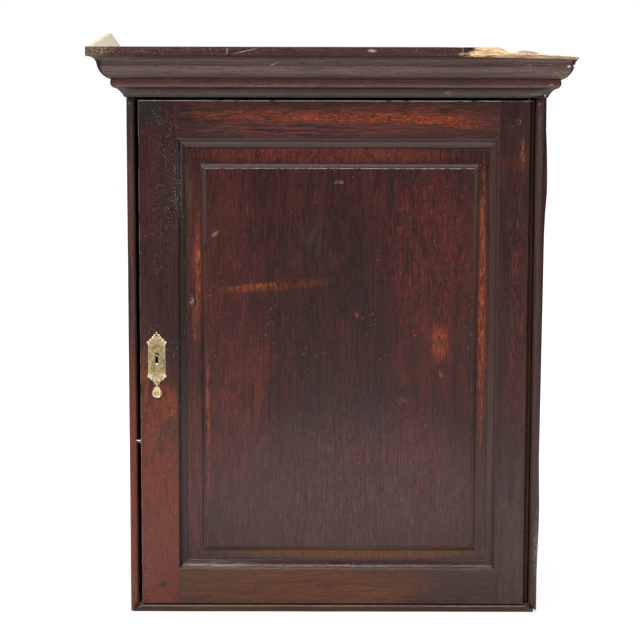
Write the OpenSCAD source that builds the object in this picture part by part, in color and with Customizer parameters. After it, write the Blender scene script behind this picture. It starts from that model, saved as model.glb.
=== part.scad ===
// Hanging wall cupboard in joined oak. A thin nailed carcass with a half-round
// bead planted round its front, a sprung cornice mitred at its corners, and one
// door with a raised and fielded panel. The door swings on two iron pins and
// has a box lock, a cast brass key plate and a small brass drop.
// X runs left to right, Y from the front to the wall and Z up, in millimetres.
// The origin is on the underside, at the middle of the width and half way from
// the front of the cornice to the wall.

/* [Carcass] */
// Width over the two sides
carcass_w = 650; // [580:1:760]
// Depth from the front of the bead to the wall
carcass_d = 356.5; // [300:0.5:420]
// Height from the underside to the foot of the cornice
carcass_h = 825; // [760:1:900]
// Thickness of the sides
side_t = 12; // [11:0.5:14]
// Thickness of the top board, which lies over the sides
top_t = 16; // [14:0.5:20]
// Thickness of the bottom board, which lies between the sides
bottom_t = 12.5; // [11:0.5:16]
// Thickness of the back boards
back_t = 10; // [8:0.5:12]
// Width of the rebate in each side that holds the back boards
rebate_w = 6; // [5:0.5:7]
// Shrinkage gap between two back boards
back_gap = 0.8; // [0.4:0.1:1.5]
// How far the rough right side stands out near its top
rough_high = 7; // [2:0.5:8]
// How far the rough right side stands out near its foot
rough_low = 2.5; // [1:0.5:4]

/* [Bead] */
// Width of the half-round bead
bead_w = 12; // [10:0.5:14]
// Depth of the bead from front to back
bead_d = 7; // [6:0.5:8]
// Chamfer on the worn bottom left corner of the bead
bead_worn = 5; // [2:0.5:7]
// Opening of the bottom right mitre
bead_open = 2; // [0.5:0.5:3]

/* [Cornice] */
// Projection of the cornice beyond the carcass
cornice_p = 57.5; // [54:0.5:62]
// Height of the top fillet of the cornice
fillet_h = 13; // [10:0.5:16]
// Height of the cornice above the carcass
cornice_h = 81; // [78:0.5:86]
// Width of the flat top edge of the cornice
cornice_top = 7; // [5:0.5:9]
// Place along X where the break in the top fillet starts
break_x = 195; // [150:1:240]
// Place along X from where the top of the fillet is gone
gone_x = 260; // [250:1:300]
// Height lost at the right tip of the cornice
gone_h = 18; // [14:0.5:20]
// Depth of the broken face behind the front of the fillet
break_in = 5; // [3:0.5:7]
// Side of the glue blocks behind the cornice
block_s = 26; // [20:1:32]
// Length of each glue block
block_l = 44; // [30:1:60]

/* [Door] */
// Gap at the lock side
gap_lock = 6.5; // [3:0.5:8]
// Gap at the hinge side
gap_hinge = 2; // [1.5:0.5:3]
// Gap over the door
gap_top = 5; // [3:0.5:7]
// Gap under the door
gap_foot = 1.5; // [1:0.25:3]
// Thickness of the door frame
door_t = 22; // [20:0.5:25]
// How far the door lies behind the front of the bead
door_in = 3; // [2:0.5:4]
// Flat width of the stile with the lock
lock_stile_w = 59; // [50:1:70]
// Flat width of the stile with the pins
pin_stile_w = 54; // [50:1:70]
// Flat width of the top rail
top_rail_w = 59.5; // [50:0.5:70]
// Flat width of the bottom rail
bottom_rail_w = 56.5; // [50:0.5:70]
// Width of the moulding worked on the inner edge of the frame
mould_w = 14; // [12:0.5:16]
// Depth of the moulding at its inner edge
mould_d = 7.4; // [6:0.2:8]
// Depth of the groove that holds the panel
groove_d = 9; // [7:0.5:10]
// Length of the tenons
tenon_l = 36; // [34:0.5:40]
// Diameter of the oak pegs
peg_dia = 9; // [7:0.5:10]
// Distance of the pegs from the shoulder in the lock stile
peg_in_lock = 25; // [18:0.5:27]
// Distance of the pegs from the shoulder in the pin stile
peg_in_pin = 28; // [18:0.5:28]
// Rounding of the door's front edge beside the pins
door_round = 8; // [7:0.5:9]

/* [Panel] */
// Depth of the panel's margin behind the frame
margin_d = 8.5; // [8.5:0.1:9.5]
// Depth of the raised field behind the frame
field_d = 3; // [2:0.1:4]
// Thickness of the panel's edge in the groove
tongue_t = 6; // [5:0.5:7]
// Width of the margin on the left of the field
margin_left = 24; // [18:0.5:30]
// Width of the margin on the right of the field
margin_right = 18.5; // [14:0.5:26]
// Width of the margin over the field
margin_top = 26; // [18:0.5:30]
// Width of the margin under the field
margin_foot = 16; // [14:0.5:26]
// Width of the moulded edge round the field
field_edge = 6.5; // [5:0.5:8]

/* [Pins] */
// Radius of the iron pins that carry the door
pin_r = 3.5; // [3:0.1:4]
// Distance of the pins from the door's edge and from its face
pin_in = 10; // [10:0.5:11]
// How far each pin reaches into the door
pin_reach = 22; // [16:1:30]
// Thickness of the washer under the door
washer_t = 1.2; // [0.8:0.1:1.2]
// Radius of the washer
washer_r = 7.5; // [6:0.5:9]
// Radius of the stop pin behind the door
stop_r = 1.3; // [1:0.1:2]
// Height of the stop pin above the underside
stop_h = 272; // [200:1:320]
// Length of the stop pin inside the cupboard
stop_l = 19; // [15:1:25]

/* [Lock] */
// Height of the key's pin above the foot of the door
key_h = 404; // [360:1:440]
// Distance of the key's pin from the door's edge
key_in = 26; // [24:0.5:30]
// Radius of the round head of the keyhole
key_r = 3.7; // [3.2:0.1:4.2]
// Length of the keyhole below the pin
key_l = 15; // [12:0.5:16]
// Radius of the key's pin
key_pin_r = 1.75; // [1.4:0.05:2]
// Width of the lock across the door
lock_w = 62; // [56:1:70]
// Height of the lock's box
lock_h = 84; // [76:1:90]
// Depth of the lock behind the door
lock_d = 15; // [14:0.5:18]
// Thickness of the lock's iron plates
lock_plate_t = 2; // [1.5:0.25:2.5]
// Height of the flanges above and below the box
lock_flange = 9; // [8:0.5:11]
// Height of the bolt
bolt_h = 22; // [18:1:24]
// Thickness of the bolt
bolt_t = 7; // [6:0.5:7.5]
// Length of the bolt
bolt_l = 45; // [40:1:50]
// Depth of the bolt's hole in the side
bolt_hole = 8; // [7:0.5:9]

/* [Key plate] */
// Width of the brass plate's body
plate_w = 27.4; // [25:0.2:30]
// Height of the brass plate's body
plate_h = 47; // [42:1:52]
// Thickness of the brass plate
plate_t = 1.8; // [1.5:0.1:2.2]
// Height of the key's pin above the foot of the plate's body
plate_key = 28.5; // [24:0.5:32]
// Height of the pierced crest
crest_h = 19; // [16:0.5:22]
// Height of the apron under the plate's body
apron_h = 13; // [12:0.5:14]
// Radius of the eye at the foot of the plate
eye_r = 4.4; // [4.2:0.1:4.6]
// Radius of the hole in the eye
eye_hole = 1.7; // [1.6:0.05:1.8]
// Mean radius of the drop's loop
loop_r = 2.9; // [2.8:0.05:3]
// Radius of the wire of the drop's loop
loop_wire = 0.8; // [0.7:0.05:0.85]
// Radius of the drop's disc
drop_r = 8; // [7:0.5:9]
// Thickness of the drop's disc
drop_t = 4; // [3:0.5:5]
// Length of the drop from the loop's centre to the disc's centre
drop_l = 13.6; // [12.5:0.2:15]

/* [Shelves] */
// Height of the lower shelf's top above the bottom board
lower_shelf_h = 270; // [240:1:300]
// Height of the upper shelf's top above the lower shelf's
upper_shelf_h = 270; // [240:1:300]
// Thickness of the shelves
shelf_t = 12; // [9:0.5:16]
// Clear space between the lock and the shelves
shelf_clear = 8; // [4:0.5:20]
// Width of the shelf bearers
bearer_w = 15; // [12:0.5:20]
// Height of the shelf bearers
bearer_h = 20; // [15:0.5:25]

/* [Hanging rail] */
// Height of the hanging rail
rail_h = 60; // [50:1:80]
// Thickness of the hanging rail
rail_t = 18; // [15:0.5:25]
// Distance of the rail's top below the top board
rail_drop = 12; // [8:0.5:20]
// Distance between the two wall holes
wall_hole_gap = 400; // [360:1:440]
// Radius of the two wall holes
wall_hole_r = 3.5; // [3:0.1:4.5]

/* [Nails] */
// Radius of the nails' shanks
nail_r = 1.2; // [1:0.1:1.5]
// Radius of the nails' heads
head_r = 3; // [2.5:0.1:4]
// Thickness of the nails' heads
head_t = 1.2; // [0.8:0.1:1.6]
// Distance of the end nails from a board's ends
nail_in = 45; // [30:1:60]

/* [Hidden] */

// Clearances: a driven fit, a running fit, and the gap between pieces that move
snug = 0.05;
run = 0.05;
slip = 0.3;
// Overlap of a cutting shape past the face that it cuts
past = 1;

// The carcass planes
half_w = carcass_w / 2;
in_x = half_w - side_t;
front_y = (cornice_p - carcass_d) / 2;
wall_y = front_y + carcass_d;
board_y = front_y + bead_d;
back_y = wall_y - back_t;
top_z = carcass_h + top_t;
crown_z = carcass_h + cornice_h;

// The door's outline, and its faces
door_x0 = gap_lock - in_x;
door_x1 = in_x - gap_hinge;
door_z0 = bottom_t + gap_foot;
door_z1 = carcass_h - gap_top;
face_y = front_y + door_in;
inner_y = face_y + door_t;

// The shoulders of the frame and the opening inside the moulding
sh_x0 = door_x0 + lock_stile_w;
sh_x1 = door_x1 - pin_stile_w;
sh_z0 = door_z0 + bottom_rail_w;
sh_z1 = door_z1 - top_rail_w;

// The pins of the door
pin_x = door_x1 - pin_in;
pin_y = face_y + pin_in;

// The lock
key_x = door_x0 + key_in;
key_z = door_z0 + key_h;
lock_z0 = key_z - lock_h / 2 - 7;
bolt_z0 = key_z + 6;
bolt_y = inner_y + lock_plate_t + (lock_d - 2 * lock_plate_t) / 2;

// The key plate
body_z0 = key_z - plate_key;
body_z1 = body_z0 + plate_h;
eye_z = body_z0 - apron_h - 2.6;
loop_z = eye_z - loop_r;
loop_y = face_y - plate_t / 2;

// The shelves
shelf_y = inner_y + lock_d + shelf_clear;
lower_z = bottom_t + lower_shelf_h;
upper_z = lower_z + upper_shelf_h;
bearer_y = shelf_y + 6;

// The hanging rail
rail_z1 = carcass_h - rail_drop;
rail_z0 = rail_z1 - rail_h;
rail_mid = (rail_z0 + rail_z1) / 2;

oak = [0.30, 0.13, 0.10];
dark_oak = [0.20, 0.11, 0.09];
old_oak = [0.36, 0.27, 0.20];
pine = [0.80, 0.70, 0.52];
iron = [0.22, 0.21, 0.20];
brass = [0.72, 0.62, 0.32];

// Points on a circular arc from a to b that swells by bulge to the left of the way
function arc(a, b, bulge, n = 8) =
    let (chord = norm(b - a), along = (b - a) / chord, left = [-along[1], along[0]],
         s = bulge > 0 ? 1 : -1, h = abs(bulge),
         r = (chord * chord / 4 + h * h) / (2 * h),
         half = asin(min(1, chord / 2 / r)),
         mid = (a + b) / 2 + left * s * (h - r))
    [for (i = [0:n]) let (t = -half + 2 * half * i / n) mid + along * r * sin(t) + left * s * r * cos(t)];

// Evenly spaced places from a to b
function spread(a, b, n) = [for (i = [0:n - 1]) a + (b - a) * i / (n - 1)];

// A box from its lowest to its highest corner
module span(low, high) {
    translate(low) cube(high - low);
}

// A drawing in X and Z, given thickness from y0 to y1
module upright(y0, y1) {
    translate([0, y1, 0]) rotate([90, 0, 0]) linear_extrude(y1 - y0) children();
}

// A nail at the origin with its head up and its point down
module nail(l) {
    translate([0, 0, -l]) cylinder(r = nail_r, h = l, $fn = 24);
    cylinder(r1 = head_r, r2 = head_r * 0.55, h = head_t, $fn = 24);
}

// The bore for such a nail, with room for its head where that is sunk
module nail_bore(l) {
    translate([0, 0, -l - snug]) cylinder(r = nail_r + snug, h = l + snug + past, $fn = 24);
    cylinder(r = head_r + snug, h = head_t + past, $fn = 24);
}

// The turn that points a nail along a direction: down, left, right, front or back
function turn(way) = way == "right" ? [0, -90, 0] : way == "left" ? [0, 90, 0]
    : way == "front" ? [-90, 0, 0] : way == "back" ? [90, 0, 0] : [0, 0, 0];

module nails(places, way, l) {
    for (p = places) translate(p) rotate(turn(way)) nail(l);
}

module nail_bores(places, way, l) {
    for (p = places) translate(p) rotate(turn(way)) nail_bore(l);
}

// How far the rough right side stands out at a height. Each pair is a share of the carcass height
// and the share of the swelling there.
low_swell = [[0.07, 0], [0.12, 0.35], [0.17, 0.9], [0.21, 1], [0.25, 0.6], [0.3, 0.1], [0.36, 0]];
high_swell = [[0.2, 0], [0.4, 0.24], [0.55, 0.35], [0.66, 0.46], [0.74, 0.48], [0.78, 0.65],
              [0.82, 0.97], [0.85, 1], [0.88, 0.9], [0.91, 0.78], [0.94, 0.6], [1, 0.57]];
function rough(z) = rough_low * lookup(z / carcass_h, low_swell)
    + rough_high * lookup(z / carcass_h, high_swell);
// A chip out of its front arris
side_chip_z = carcass_h * 0.83;
side_chip = 3;

// Nail places, shared by the nails and the boards that they go through
nail_y = spread(front_y + nail_in, wall_y - nail_in, 4);
top_nail_l = 45;
top_places = [for (s = [-1, 1], y = nail_y) [s * (half_w - side_t / 2), y, top_z]];
base_nail_l = 38;
base_left = [for (y = nail_y) [-half_w, y, bottom_t / 2]];
base_right = [for (y = nail_y) [half_w + rough(bottom_t / 2), y, bottom_t / 2]];
rail_nail_l = 40;
rail_nail_y = back_y - rail_t / 2;
rail_nail_z = [rail_mid - rail_h / 4, rail_mid + rail_h / 4];
rail_left = [for (z = rail_nail_z) [-half_w, rail_nail_y, z]];
rail_right = [for (z = rail_nail_z) [half_w + rough(z), rail_nail_y, z]];
bearer_nail_l = bearer_w + side_t - 4;
bearer_nail_in = 30;
bearer_nail_y = [bearer_y + bearer_nail_in, back_y - bearer_nail_in];
bearer_z = [upper_z - shelf_t - bearer_h / 2, lower_z - shelf_t - bearer_h / 2];
back_nail_l = 24;

// The back boards: shares of the width, left to right
back_x0 = -in_x - rebate_w + snug;
back_x1 = -back_x0;
back_share = [0, 0.27, 0.5, 0.77, 1];
function back_edge(i) = back_x0 + (back_x1 - back_x0) * back_share[i];
function board_x0(i) = back_edge(i) + (i > 0 ? back_gap / 2 : 0);
function board_x1(i) = back_edge(i + 1) - (i < 3 ? back_gap / 2 : 0);
board_nail_in = 30;
function board_nail_x(i) = [board_x0(i) + board_nail_in, board_x1(i) - board_nail_in];
// In the rail the nails stand clear over the wall holes
back_nail_up = wall_hole_r + head_r + 2.5;
back_nail_z = [bottom_t / 2, rail_mid + back_nail_up];
sunk_y = wall_y - head_t;
back_places = [for (i = [0:3], x = board_nail_x(i), z = back_nail_z) [x, sunk_y, z]];
edge_nail_in = 150;
edge_z = spread(edge_nail_in, carcass_h - edge_nail_in, 3);
edge_places = [for (s = [-1, 1], z = edge_z) [s * (in_x - head_r), sunk_y, z]];
edge_nail_l = 22;

module left_side() {
    color(dark_oak) difference() {
        span([-half_w, board_y, 0], [-in_x, wall_y, carcass_h]);
        span([-in_x - rebate_w, back_y, -past], [-in_x + past, wall_y + past, carcass_h + past]);
        nail_bores(top_places, "down", top_nail_l);
        nail_bores(base_left, "right", base_nail_l);
        nail_bores(rail_left, "right", rail_nail_l);
        for (z = bearer_z)
            nail_bores([for (y = bearer_nail_y) [-in_x + bearer_w, y, z]], "left", bearer_nail_l);
        nail_bores(edge_places, "front", edge_nail_l);
        translate([-in_x + past, stop_y, stop_h]) rotate([0, -90, 0])
            cylinder(r = stop_r + snug, h = side_t * 0.75 + past, $fn = 24);
        bolt_pocket();
    }
}

// The hole in the side that takes the bolt
module bolt_pocket() {
    span([-in_x - bolt_hole, bolt_y - bolt_t / 2 - 0.5, bolt_z0 - 0.5],
         [-in_x + past, bolt_y + bolt_t / 2 + 0.5, bolt_z0 + bolt_h + 0.5]);
}

module right_side() {
    steps = 50;
    outer = [for (i = [0:steps]) let (z = carcass_h * i / steps) [half_w + rough(z), z]];
    color(dark_oak) difference() {
        upright(board_y, wall_y) polygon(concat([[in_x, carcass_h], [in_x, 0]], outer));
        span([in_x - past, back_y, -past], [in_x + rebate_w, wall_y + past, carcass_h + past]);
        nail_bores(top_places, "down", top_nail_l);
        nail_bores(base_right, "left", base_nail_l);
        nail_bores(rail_right, "left", rail_nail_l);
        for (z = bearer_z)
            nail_bores([for (y = bearer_nail_y) [in_x - bearer_w, y, z]], "right", bearer_nail_l);
        nail_bores(edge_places, "front", edge_nail_l);
        translate([half_w + rough(side_chip_z), board_y, side_chip_z]) rotate([0, 45, 0])
            cube(side_chip, center = true);
        foot_chip();
    }
}

module top_board() {
    color(old_oak) difference() {
        span([-half_w, front_y, carcass_h], [half_w, wall_y, top_z]);
        nail_bores(top_places, "down", top_nail_l);
        translate([pin_x, pin_y, carcass_h - past])
            cylinder(r = pin_r + snug, h = top_t + 2 * past, $fn = 48);
    }
}

module bottom_board() {
    color(old_oak) difference() {
        span([-in_x, board_y, 0], [in_x, back_y, bottom_t]);
        nail_bores(base_left, "right", base_nail_l);
        nail_bores(base_right, "left", base_nail_l);
        nail_bores(back_places, "front", back_nail_l);
        translate([pin_x, pin_y, -past]) cylinder(r = pin_r + snug, h = bottom_t + 2 * past, $fn = 48);
        translate([pin_x, pin_y, -past])
            cylinder(r = pin_head_r + snug, h = past + pin_head_t + snug, $fn = 48);
    }
}

// One back board, counted from the left
module back_board(i) {
    color(old_oak) difference() {
        span([board_x0(i), back_y, 0], [board_x1(i), wall_y, carcass_h]);
        nail_bores(back_places, "front", back_nail_l);
        nail_bores(edge_places, "front", edge_nail_l);
        wall_holes();
    }
}

// The two holes through the rail and the back that take the wall screws
module wall_holes() {
    for (s = [-1, 1]) translate([s * wall_hole_gap / 2, wall_y + past, rail_mid]) rotate([90, 0, 0])
        cylinder(r = wall_hole_r, h = back_t + rail_t + 2 * past, $fn = 48);
}

module hanging_rail() {
    color(old_oak) difference() {
        span([-in_x, back_y - rail_t, rail_z0], [in_x, back_y, rail_z1]);
        nail_bores(rail_left, "right", rail_nail_l);
        nail_bores(rail_right, "left", rail_nail_l);
        nail_bores(back_places, "front", back_nail_l);
        wall_holes();
    }
}

module shelf(z) {
    color(old_oak) span([slip - in_x, shelf_y, z - shelf_t], [in_x - slip, back_y - slip, z]);
}

// One bearer: side -1 is the left, and z is the top of its shelf
module bearer(side, z) {
    inner = in_x - bearer_w;
    color(old_oak) difference() {
        span([side < 0 ? -in_x : inner, bearer_y, z - shelf_t - bearer_h],
             [side < 0 ? -inner : in_x, back_y - slip, z - shelf_t]);
        for (y = bearer_nail_y) translate([side * inner, y, z - shelf_t - bearer_h / 2])
            rotate(turn(side < 0 ? "left" : "right")) nail_bore(bearer_nail_l);
    }
}

// The half-round section of the bead, its flat back on the axis y = bead_d
module bead_section() {
    r = bead_w / 2;
    intersection() {
        translate([r, r]) circle(r = r, $fn = 64);
        square([bead_w, r]);
    }
    translate([0, r]) square([bead_w, bead_d - r]);
}

// Half of the mitre: the part of the front left or right of the corner's diagonal
module mitre_keep(x, side, z) {
    w = bead_w + past;
    upright(front_y - past, board_y + past)
        polygon([[x, z], [x + side * w, z + w], [x + side * w, carcass_h], [x - side * past, carcass_h],
                 [x - side * past, z]]);
}

module left_bead() {
    color(dark_oak) difference() {
        intersection() {
            translate([-half_w, front_y, 0]) linear_extrude(carcass_h) bead_section();
            mitre_keep(-half_w, 1, 0);
        }
        worn_corner();
    }
}

// The worn corner at the bottom left of the bead
module worn_corner() {
    upright(front_y - past, board_y + past)
        polygon([[-half_w - past, -past], [-half_w + bead_worn, -past], [-half_w + bead_worn, 0],
                 [-half_w, bead_worn], [-half_w - past, bead_worn]]);
}

// The chip broken out of the bottom right corner, where the mitre gapes
foot_chip_w = 5.6;
foot_chip_h = 5.7;
foot_chip_d = 16;
module foot_chip() {
    upright(front_y - past, board_y + foot_chip_d)
        polygon([[half_w - foot_chip_w, foot_chip_h], [half_w + past, foot_chip_h / 2],
                 [half_w + past, -past], [half_w - foot_chip_w + 0.8, -past]]);
}

module right_bead() {
    color(dark_oak) difference() {
        intersection() {
            translate([half_w - bead_w, front_y, 0]) linear_extrude(carcass_h) bead_section();
            mitre_keep(half_w, -1, bead_open);
        }
        foot_chip();
    }
}

module bottom_bead() {
    color(dark_oak) difference() {
        intersection() {
            translate([-half_w, front_y, bead_w]) rotate([0, 90, 0]) linear_extrude(carcass_w) bead_section();
            upright(front_y - past, board_y + past)
                polygon([[-half_w, 0], [half_w, 0], [half_w - bead_w, bead_w], [bead_w - half_w, bead_w]]);
        }
        worn_corner();
        foot_chip();
    }
}

// The section of the cornice: p is the projection and z the height over the carcass. Each member
// is a pair of corners. The foot's hollow and the torus are set out from the carcass, and the ovolo
// and the upper hollow from the top fillet.
slope = 0.702;
function back_of(z) = cornice_p - cornice_top - (cornice_h - z) * slope;
foot_lip = [3.2, 1.2];
foot_hollow = [14.3, 14.6];
torus_foot = [17, 15.3];
torus_head = [cornice_p - 36, 29];
ovolo_foot = [cornice_p - 33.5, 30];
ovolo_head = [cornice_p - 16.5, cornice_h - 29.5];
hollow_foot = [cornice_p - 16, cornice_h - 27];
hollow_head = [cornice_p - 2, cornice_h - fillet_h - 1.7];
// How far each curved member swells from the line between its corners
foot_swell = 1.3;
torus_swell = 2.9;
ovolo_swell = 3.2;
hollow_swell = 3.4;
cornice_pts = concat(
    [[0, 0], [foot_lip[0] - 1, 0], foot_lip],
    arc(foot_lip, foot_hollow, foot_swell, 6),
    [torus_foot],
    arc(torus_foot, torus_head, -torus_swell, 8),
    [ovolo_foot],
    arc(ovolo_foot, ovolo_head, -ovolo_swell, 8),
    arc(hollow_foot, hollow_head, hollow_swell, 8),
    [[cornice_p, cornice_h - fillet_h], [cornice_p, cornice_h], [cornice_p - cornice_top, cornice_h],
     [max(back_of(top_t), 1), top_t], [0, top_t]]
);

// The cornice's section along the front, before it is mitred
module front_run(section) {
    l = carcass_w + 2 * cornice_p;
    translate([-l / 2, front_y, carcass_h]) rotate([90, 0, 90]) linear_extrude(l)
        polygon([for (p = section) [-p[0], p[1]]]);
}

module left_run(section) {
    translate([-half_w, wall_y, carcass_h]) rotate([90, 0, 0]) linear_extrude(carcass_d + cornice_p)
        polygon([for (p = section) [-p[0], p[1]]]);
}

// The break in the top fillet: the top is gone from gone_x, and the face from break_x
module cornice_break() {
    tip_x = half_w + cornice_p + past;
    upright(front_y - cornice_p - past, front_y)
        polygon([[gone_x - 8, crown_z + past], [gone_x, crown_z - 7], [gone_x + 8, crown_z - 9],
                 [tip_x, crown_z - gone_h], [tip_x, crown_z + past]]);
    f = front_y - cornice_p;
    translate([0, 0, crown_z - fillet_h - 1.7]) linear_extrude(fillet_h + 1.7 + past)
        polygon([[break_x, f - past], [break_x, f], [break_x + 18, f + break_in * 0.7],
                 [gone_x, f + break_in], [tip_x, f + break_in + 2], [tip_x, f - past]]);
}

// The piece lost from the foot of the cornice at its right end
module cornice_chip() {
    upright(front_y - 5, front_y + past)
        polygon([[half_w - 22, carcass_h - past], [half_w - 20, carcass_h + 2],
                 [half_w - 8, carcass_h + 3.5], [half_w + past, carcass_h + 5],
                 [half_w + past, carcass_h - past]]);
}

// The right mitre is cut full at its foot, and has a nick under the hollow
mitre_full = 2.4;
end_nick = 4;
module cornice_nick() {
    translate([half_w + ovolo_head[0] + 1.4, front_y - ovolo_head[0], carcass_h + ovolo_head[1] + 0.5])
        rotate([0, 45, 0]) cube([end_nick, end_nick * 3, end_nick], center = true);
}

module cornice_front() {
    f = front_y - cornice_p;
    tip = half_w + cornice_p;
    color(dark_oak) difference() {
        intersection() {
            front_run(cornice_pts);
            translate([0, 0, carcass_h - past]) linear_extrude(cornice_h + 2 * past)
                polygon([[-tip, f], [tip, f], [half_w + mitre_full, front_y], [-half_w, front_y]]);
        }
        cornice_break();
        cornice_nick();
        cornice_chip();
    }
}

module cornice_left_return() {
    tip = half_w + cornice_p;
    color(dark_oak) intersection() {
        left_run(cornice_pts);
        translate([0, 0, carcass_h - past]) linear_extrude(cornice_h + 2 * past)
            polygon([[-tip, front_y - cornice_p], [-half_w, front_y], [-half_w, wall_y], [-tip, wall_y]]);
    }
}

// The section of a glue block: it stands on the top board and leans on the cornice
block_pts = [[back_of(top_t) - slip, top_t], [back_of(top_t + block_s) - slip, top_t + block_s],
             [-2, top_t + block_s], [-block_s, top_t + 8], [-block_s, top_t]];

// Glue blocks stand between the places of the nails
front_block_x = [-215, 0, 215];
left_block_y = [(nail_y[0] + nail_y[1]) / 2, (nail_y[2] + nail_y[3]) / 2];

module front_glue_blocks() {
    color(pine) for (x = front_block_x) translate([x - block_l / 2, front_y, carcass_h]) rotate([90, 0, 90])
        linear_extrude(block_l) polygon([for (p = block_pts) [-p[0], p[1]]]);
}

module left_glue_blocks() {
    color(pine) for (y = left_block_y) translate([-half_w, y + block_l / 2, carcass_h]) rotate([90, 0, 0])
        linear_extrude(block_l) polygon([for (p = block_pts) [-p[0], p[1]]]);
}

module top_nails() {
    color(iron) nails(top_places, "down", top_nail_l);
}

module base_nails() {
    color(iron) {
        nails(base_left, "right", base_nail_l);
        nails(base_right, "left", base_nail_l);
    }
}

module back_nails() {
    color(iron) {
        nails(back_places, "front", back_nail_l);
        nails(edge_places, "front", edge_nail_l);
    }
}

module bearer_nails() {
    color(iron) for (z = bearer_z, y = bearer_nail_y) {
        nails([[-in_x + bearer_w, y, z]], "left", bearer_nail_l);
        nails([[in_x - bearer_w, y, z]], "right", bearer_nail_l);
    }
}

module rail_nails() {
    color(iron) {
        nails(rail_left, "right", rail_nail_l);
        nails(rail_right, "left", rail_nail_l);
    }
}

// The iron pins that the door turns on
pin_head_r = 6;
pin_head_t = 2;

module lower_pivot_pin() {
    color(iron) translate([pin_x, pin_y, 0]) {
        cylinder(r = pin_r, h = door_z0 + pin_reach, $fn = 48);
        cylinder(r = pin_head_r, h = pin_head_t, $fn = 48);
    }
}

module upper_pivot_pin() {
    color(iron) translate([pin_x, pin_y, door_z1 - pin_reach]) {
        cylinder(r = pin_r, h = top_z - door_z1 + pin_reach, $fn = 48);
        translate([0, 0, top_z - door_z1 + pin_reach]) cylinder(r = pin_head_r, h = pin_head_t, $fn = 48);
    }
}

module pivot_washer() {
    color(iron) translate([pin_x, pin_y, bottom_t]) difference() {
        cylinder(r = washer_r, h = washer_t, $fn = 48);
        translate([0, 0, -past]) cylinder(r = pin_r + snug, h = washer_t + 2 * past, $fn = 48);
    }
}

stop_y = inner_y + slip + stop_r;

module door_stop_pin() {
    color([0.75, 0.75, 0.72]) translate([-in_x - side_t * 0.75 + snug, stop_y, stop_h]) rotate([0, 90, 0])
        cylinder(r = stop_r, h = side_t * 0.75 + stop_l, $fn = 24);
}

// The section of a frame member: u runs in from its outer edge and w back from its face. A quirk
// parts the flat from the ovolo, and a small lip ends the ovolo over the groove.
quirk_w = 2;
quirk_d = 1.8;
mould_lip = 1.4;
mould_swell = 2.1;
groove_fit = 0.1;
function member(flat, round) = concat(
    round > 0 ? arc([0, round], [round, 0], round * (1 - sqrt(0.5)), 8) : [[0, 0]],
    [[flat, 0], [flat + quirk_d / 3, quirk_d], [flat + quirk_w, quirk_d]],
    arc([flat + quirk_w, quirk_d], [flat + mould_w - mould_lip, mould_d], mould_swell, 8),
    [[flat + mould_w, mould_d], [flat + mould_w, margin_d - groove_fit],
     [flat + mould_w - groove_d, margin_d - groove_fit],
     [flat + mould_w - groove_d, margin_d + tongue_t + groove_fit],
     [flat + mould_w, margin_d + tongue_t + groove_fit], [flat + mould_w, door_t], [0, door_t]]
);

// The tenon's section is as thick as the panel's edge, behind the panel's margin. It stands back
// from the door's edge and, less, from the moulding.
tenon_y0 = face_y + margin_d;
tenon_y1 = tenon_y0 + tongue_t;
tenon_in = 9;
tenon_back = 2;

// The tenon on one end of a rail: x is the shoulder and side the way it points
module tenon(x, side, z0, z1, grow) {
    tip = x + side * (tenon_l + grow);
    span([min(x, tip), tenon_y0 - grow, z0 - grow], [max(x, tip), tenon_y1 + grow, z1 + grow]);
}

// The heights of the tenons of the bottom rail and of the top rail
tenon_foot = [door_z0 + tenon_in, sh_z0 - tenon_back];
tenon_head = [sh_z1 + tenon_back, door_z1 - tenon_in];

// The peg places: over the tenons of the four joints
peg_places = [for (x = [sh_x0 - peg_in_lock, sh_x1 + peg_in_pin],
                   z = [(tenon_foot[0] + tenon_foot[1]) / 2, (tenon_head[0] + tenon_head[1]) / 2]) [x, z]];

module peg_bores() {
    for (p = peg_places) translate([p[0], inner_y + past, p[1]]) rotate([90, 0, 0])
        cylinder(d = peg_dia + 2 * snug, h = door_t + 2 * past, $fn = 48);
}

// What the mitres take off a stile: its moulding beyond the rails
module stile_ends(x, side) {
    far = mould_w + past;
    upright(face_y - past, inner_y + past) {
        polygon([[x, sh_z1], [x + side * far, sh_z1 - far], [x + side * far, door_z1 + past],
                 [x, door_z1 + past]]);
        polygon([[x, sh_z0], [x + side * far, sh_z0 + far], [x + side * far, door_z0 - past],
                 [x, door_z0 - past]]);
    }
}

module stile(x, side, flat, round, shoulder) {
    difference() {
        translate([x, face_y, door_z0]) linear_extrude(door_z1 - door_z0)
            polygon([for (p = member(flat, round)) [side * p[0], p[1]]]);
        stile_ends(shoulder, side);
        tenon(shoulder, -side, tenon_foot[0], tenon_foot[1], groove_fit);
        tenon(shoulder, -side, tenon_head[0], tenon_head[1], groove_fit);
        peg_bores();
    }
}

// The keyhole: a round head and a slot that flares to its foot
module keyhole(grow) {
    circle(r = key_r + grow, $fn = 48);
    polygon([[-1.7 - grow, 0], [-2.9 - grow, -key_l - grow], [2.9 + grow, -key_l - grow], [1.7 + grow, 0]]);
}

module lock_stile() {
    color(oak) difference() {
        stile(door_x0, 1, lock_stile_w, 0, sh_x0);
        translate([key_x, 0, key_z]) upright(face_y - past, inner_y + past) keyhole(1);
        translate([key_x - 1.5, loop_y, loop_z]) rotate([0, 90, 0])
            cylinder(r = loop_r + loop_wire + 0.5, h = 3, $fn = 48);
        for (p = plate_pin_places) translate([p[0], face_y - past, p[1]]) rotate([-90, 0, 0])
            cylinder(r = plate_pin_r + snug, h = plate_pin_l + past + snug, $fn = 24);
        lock_screw_bores();
    }
}

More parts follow.
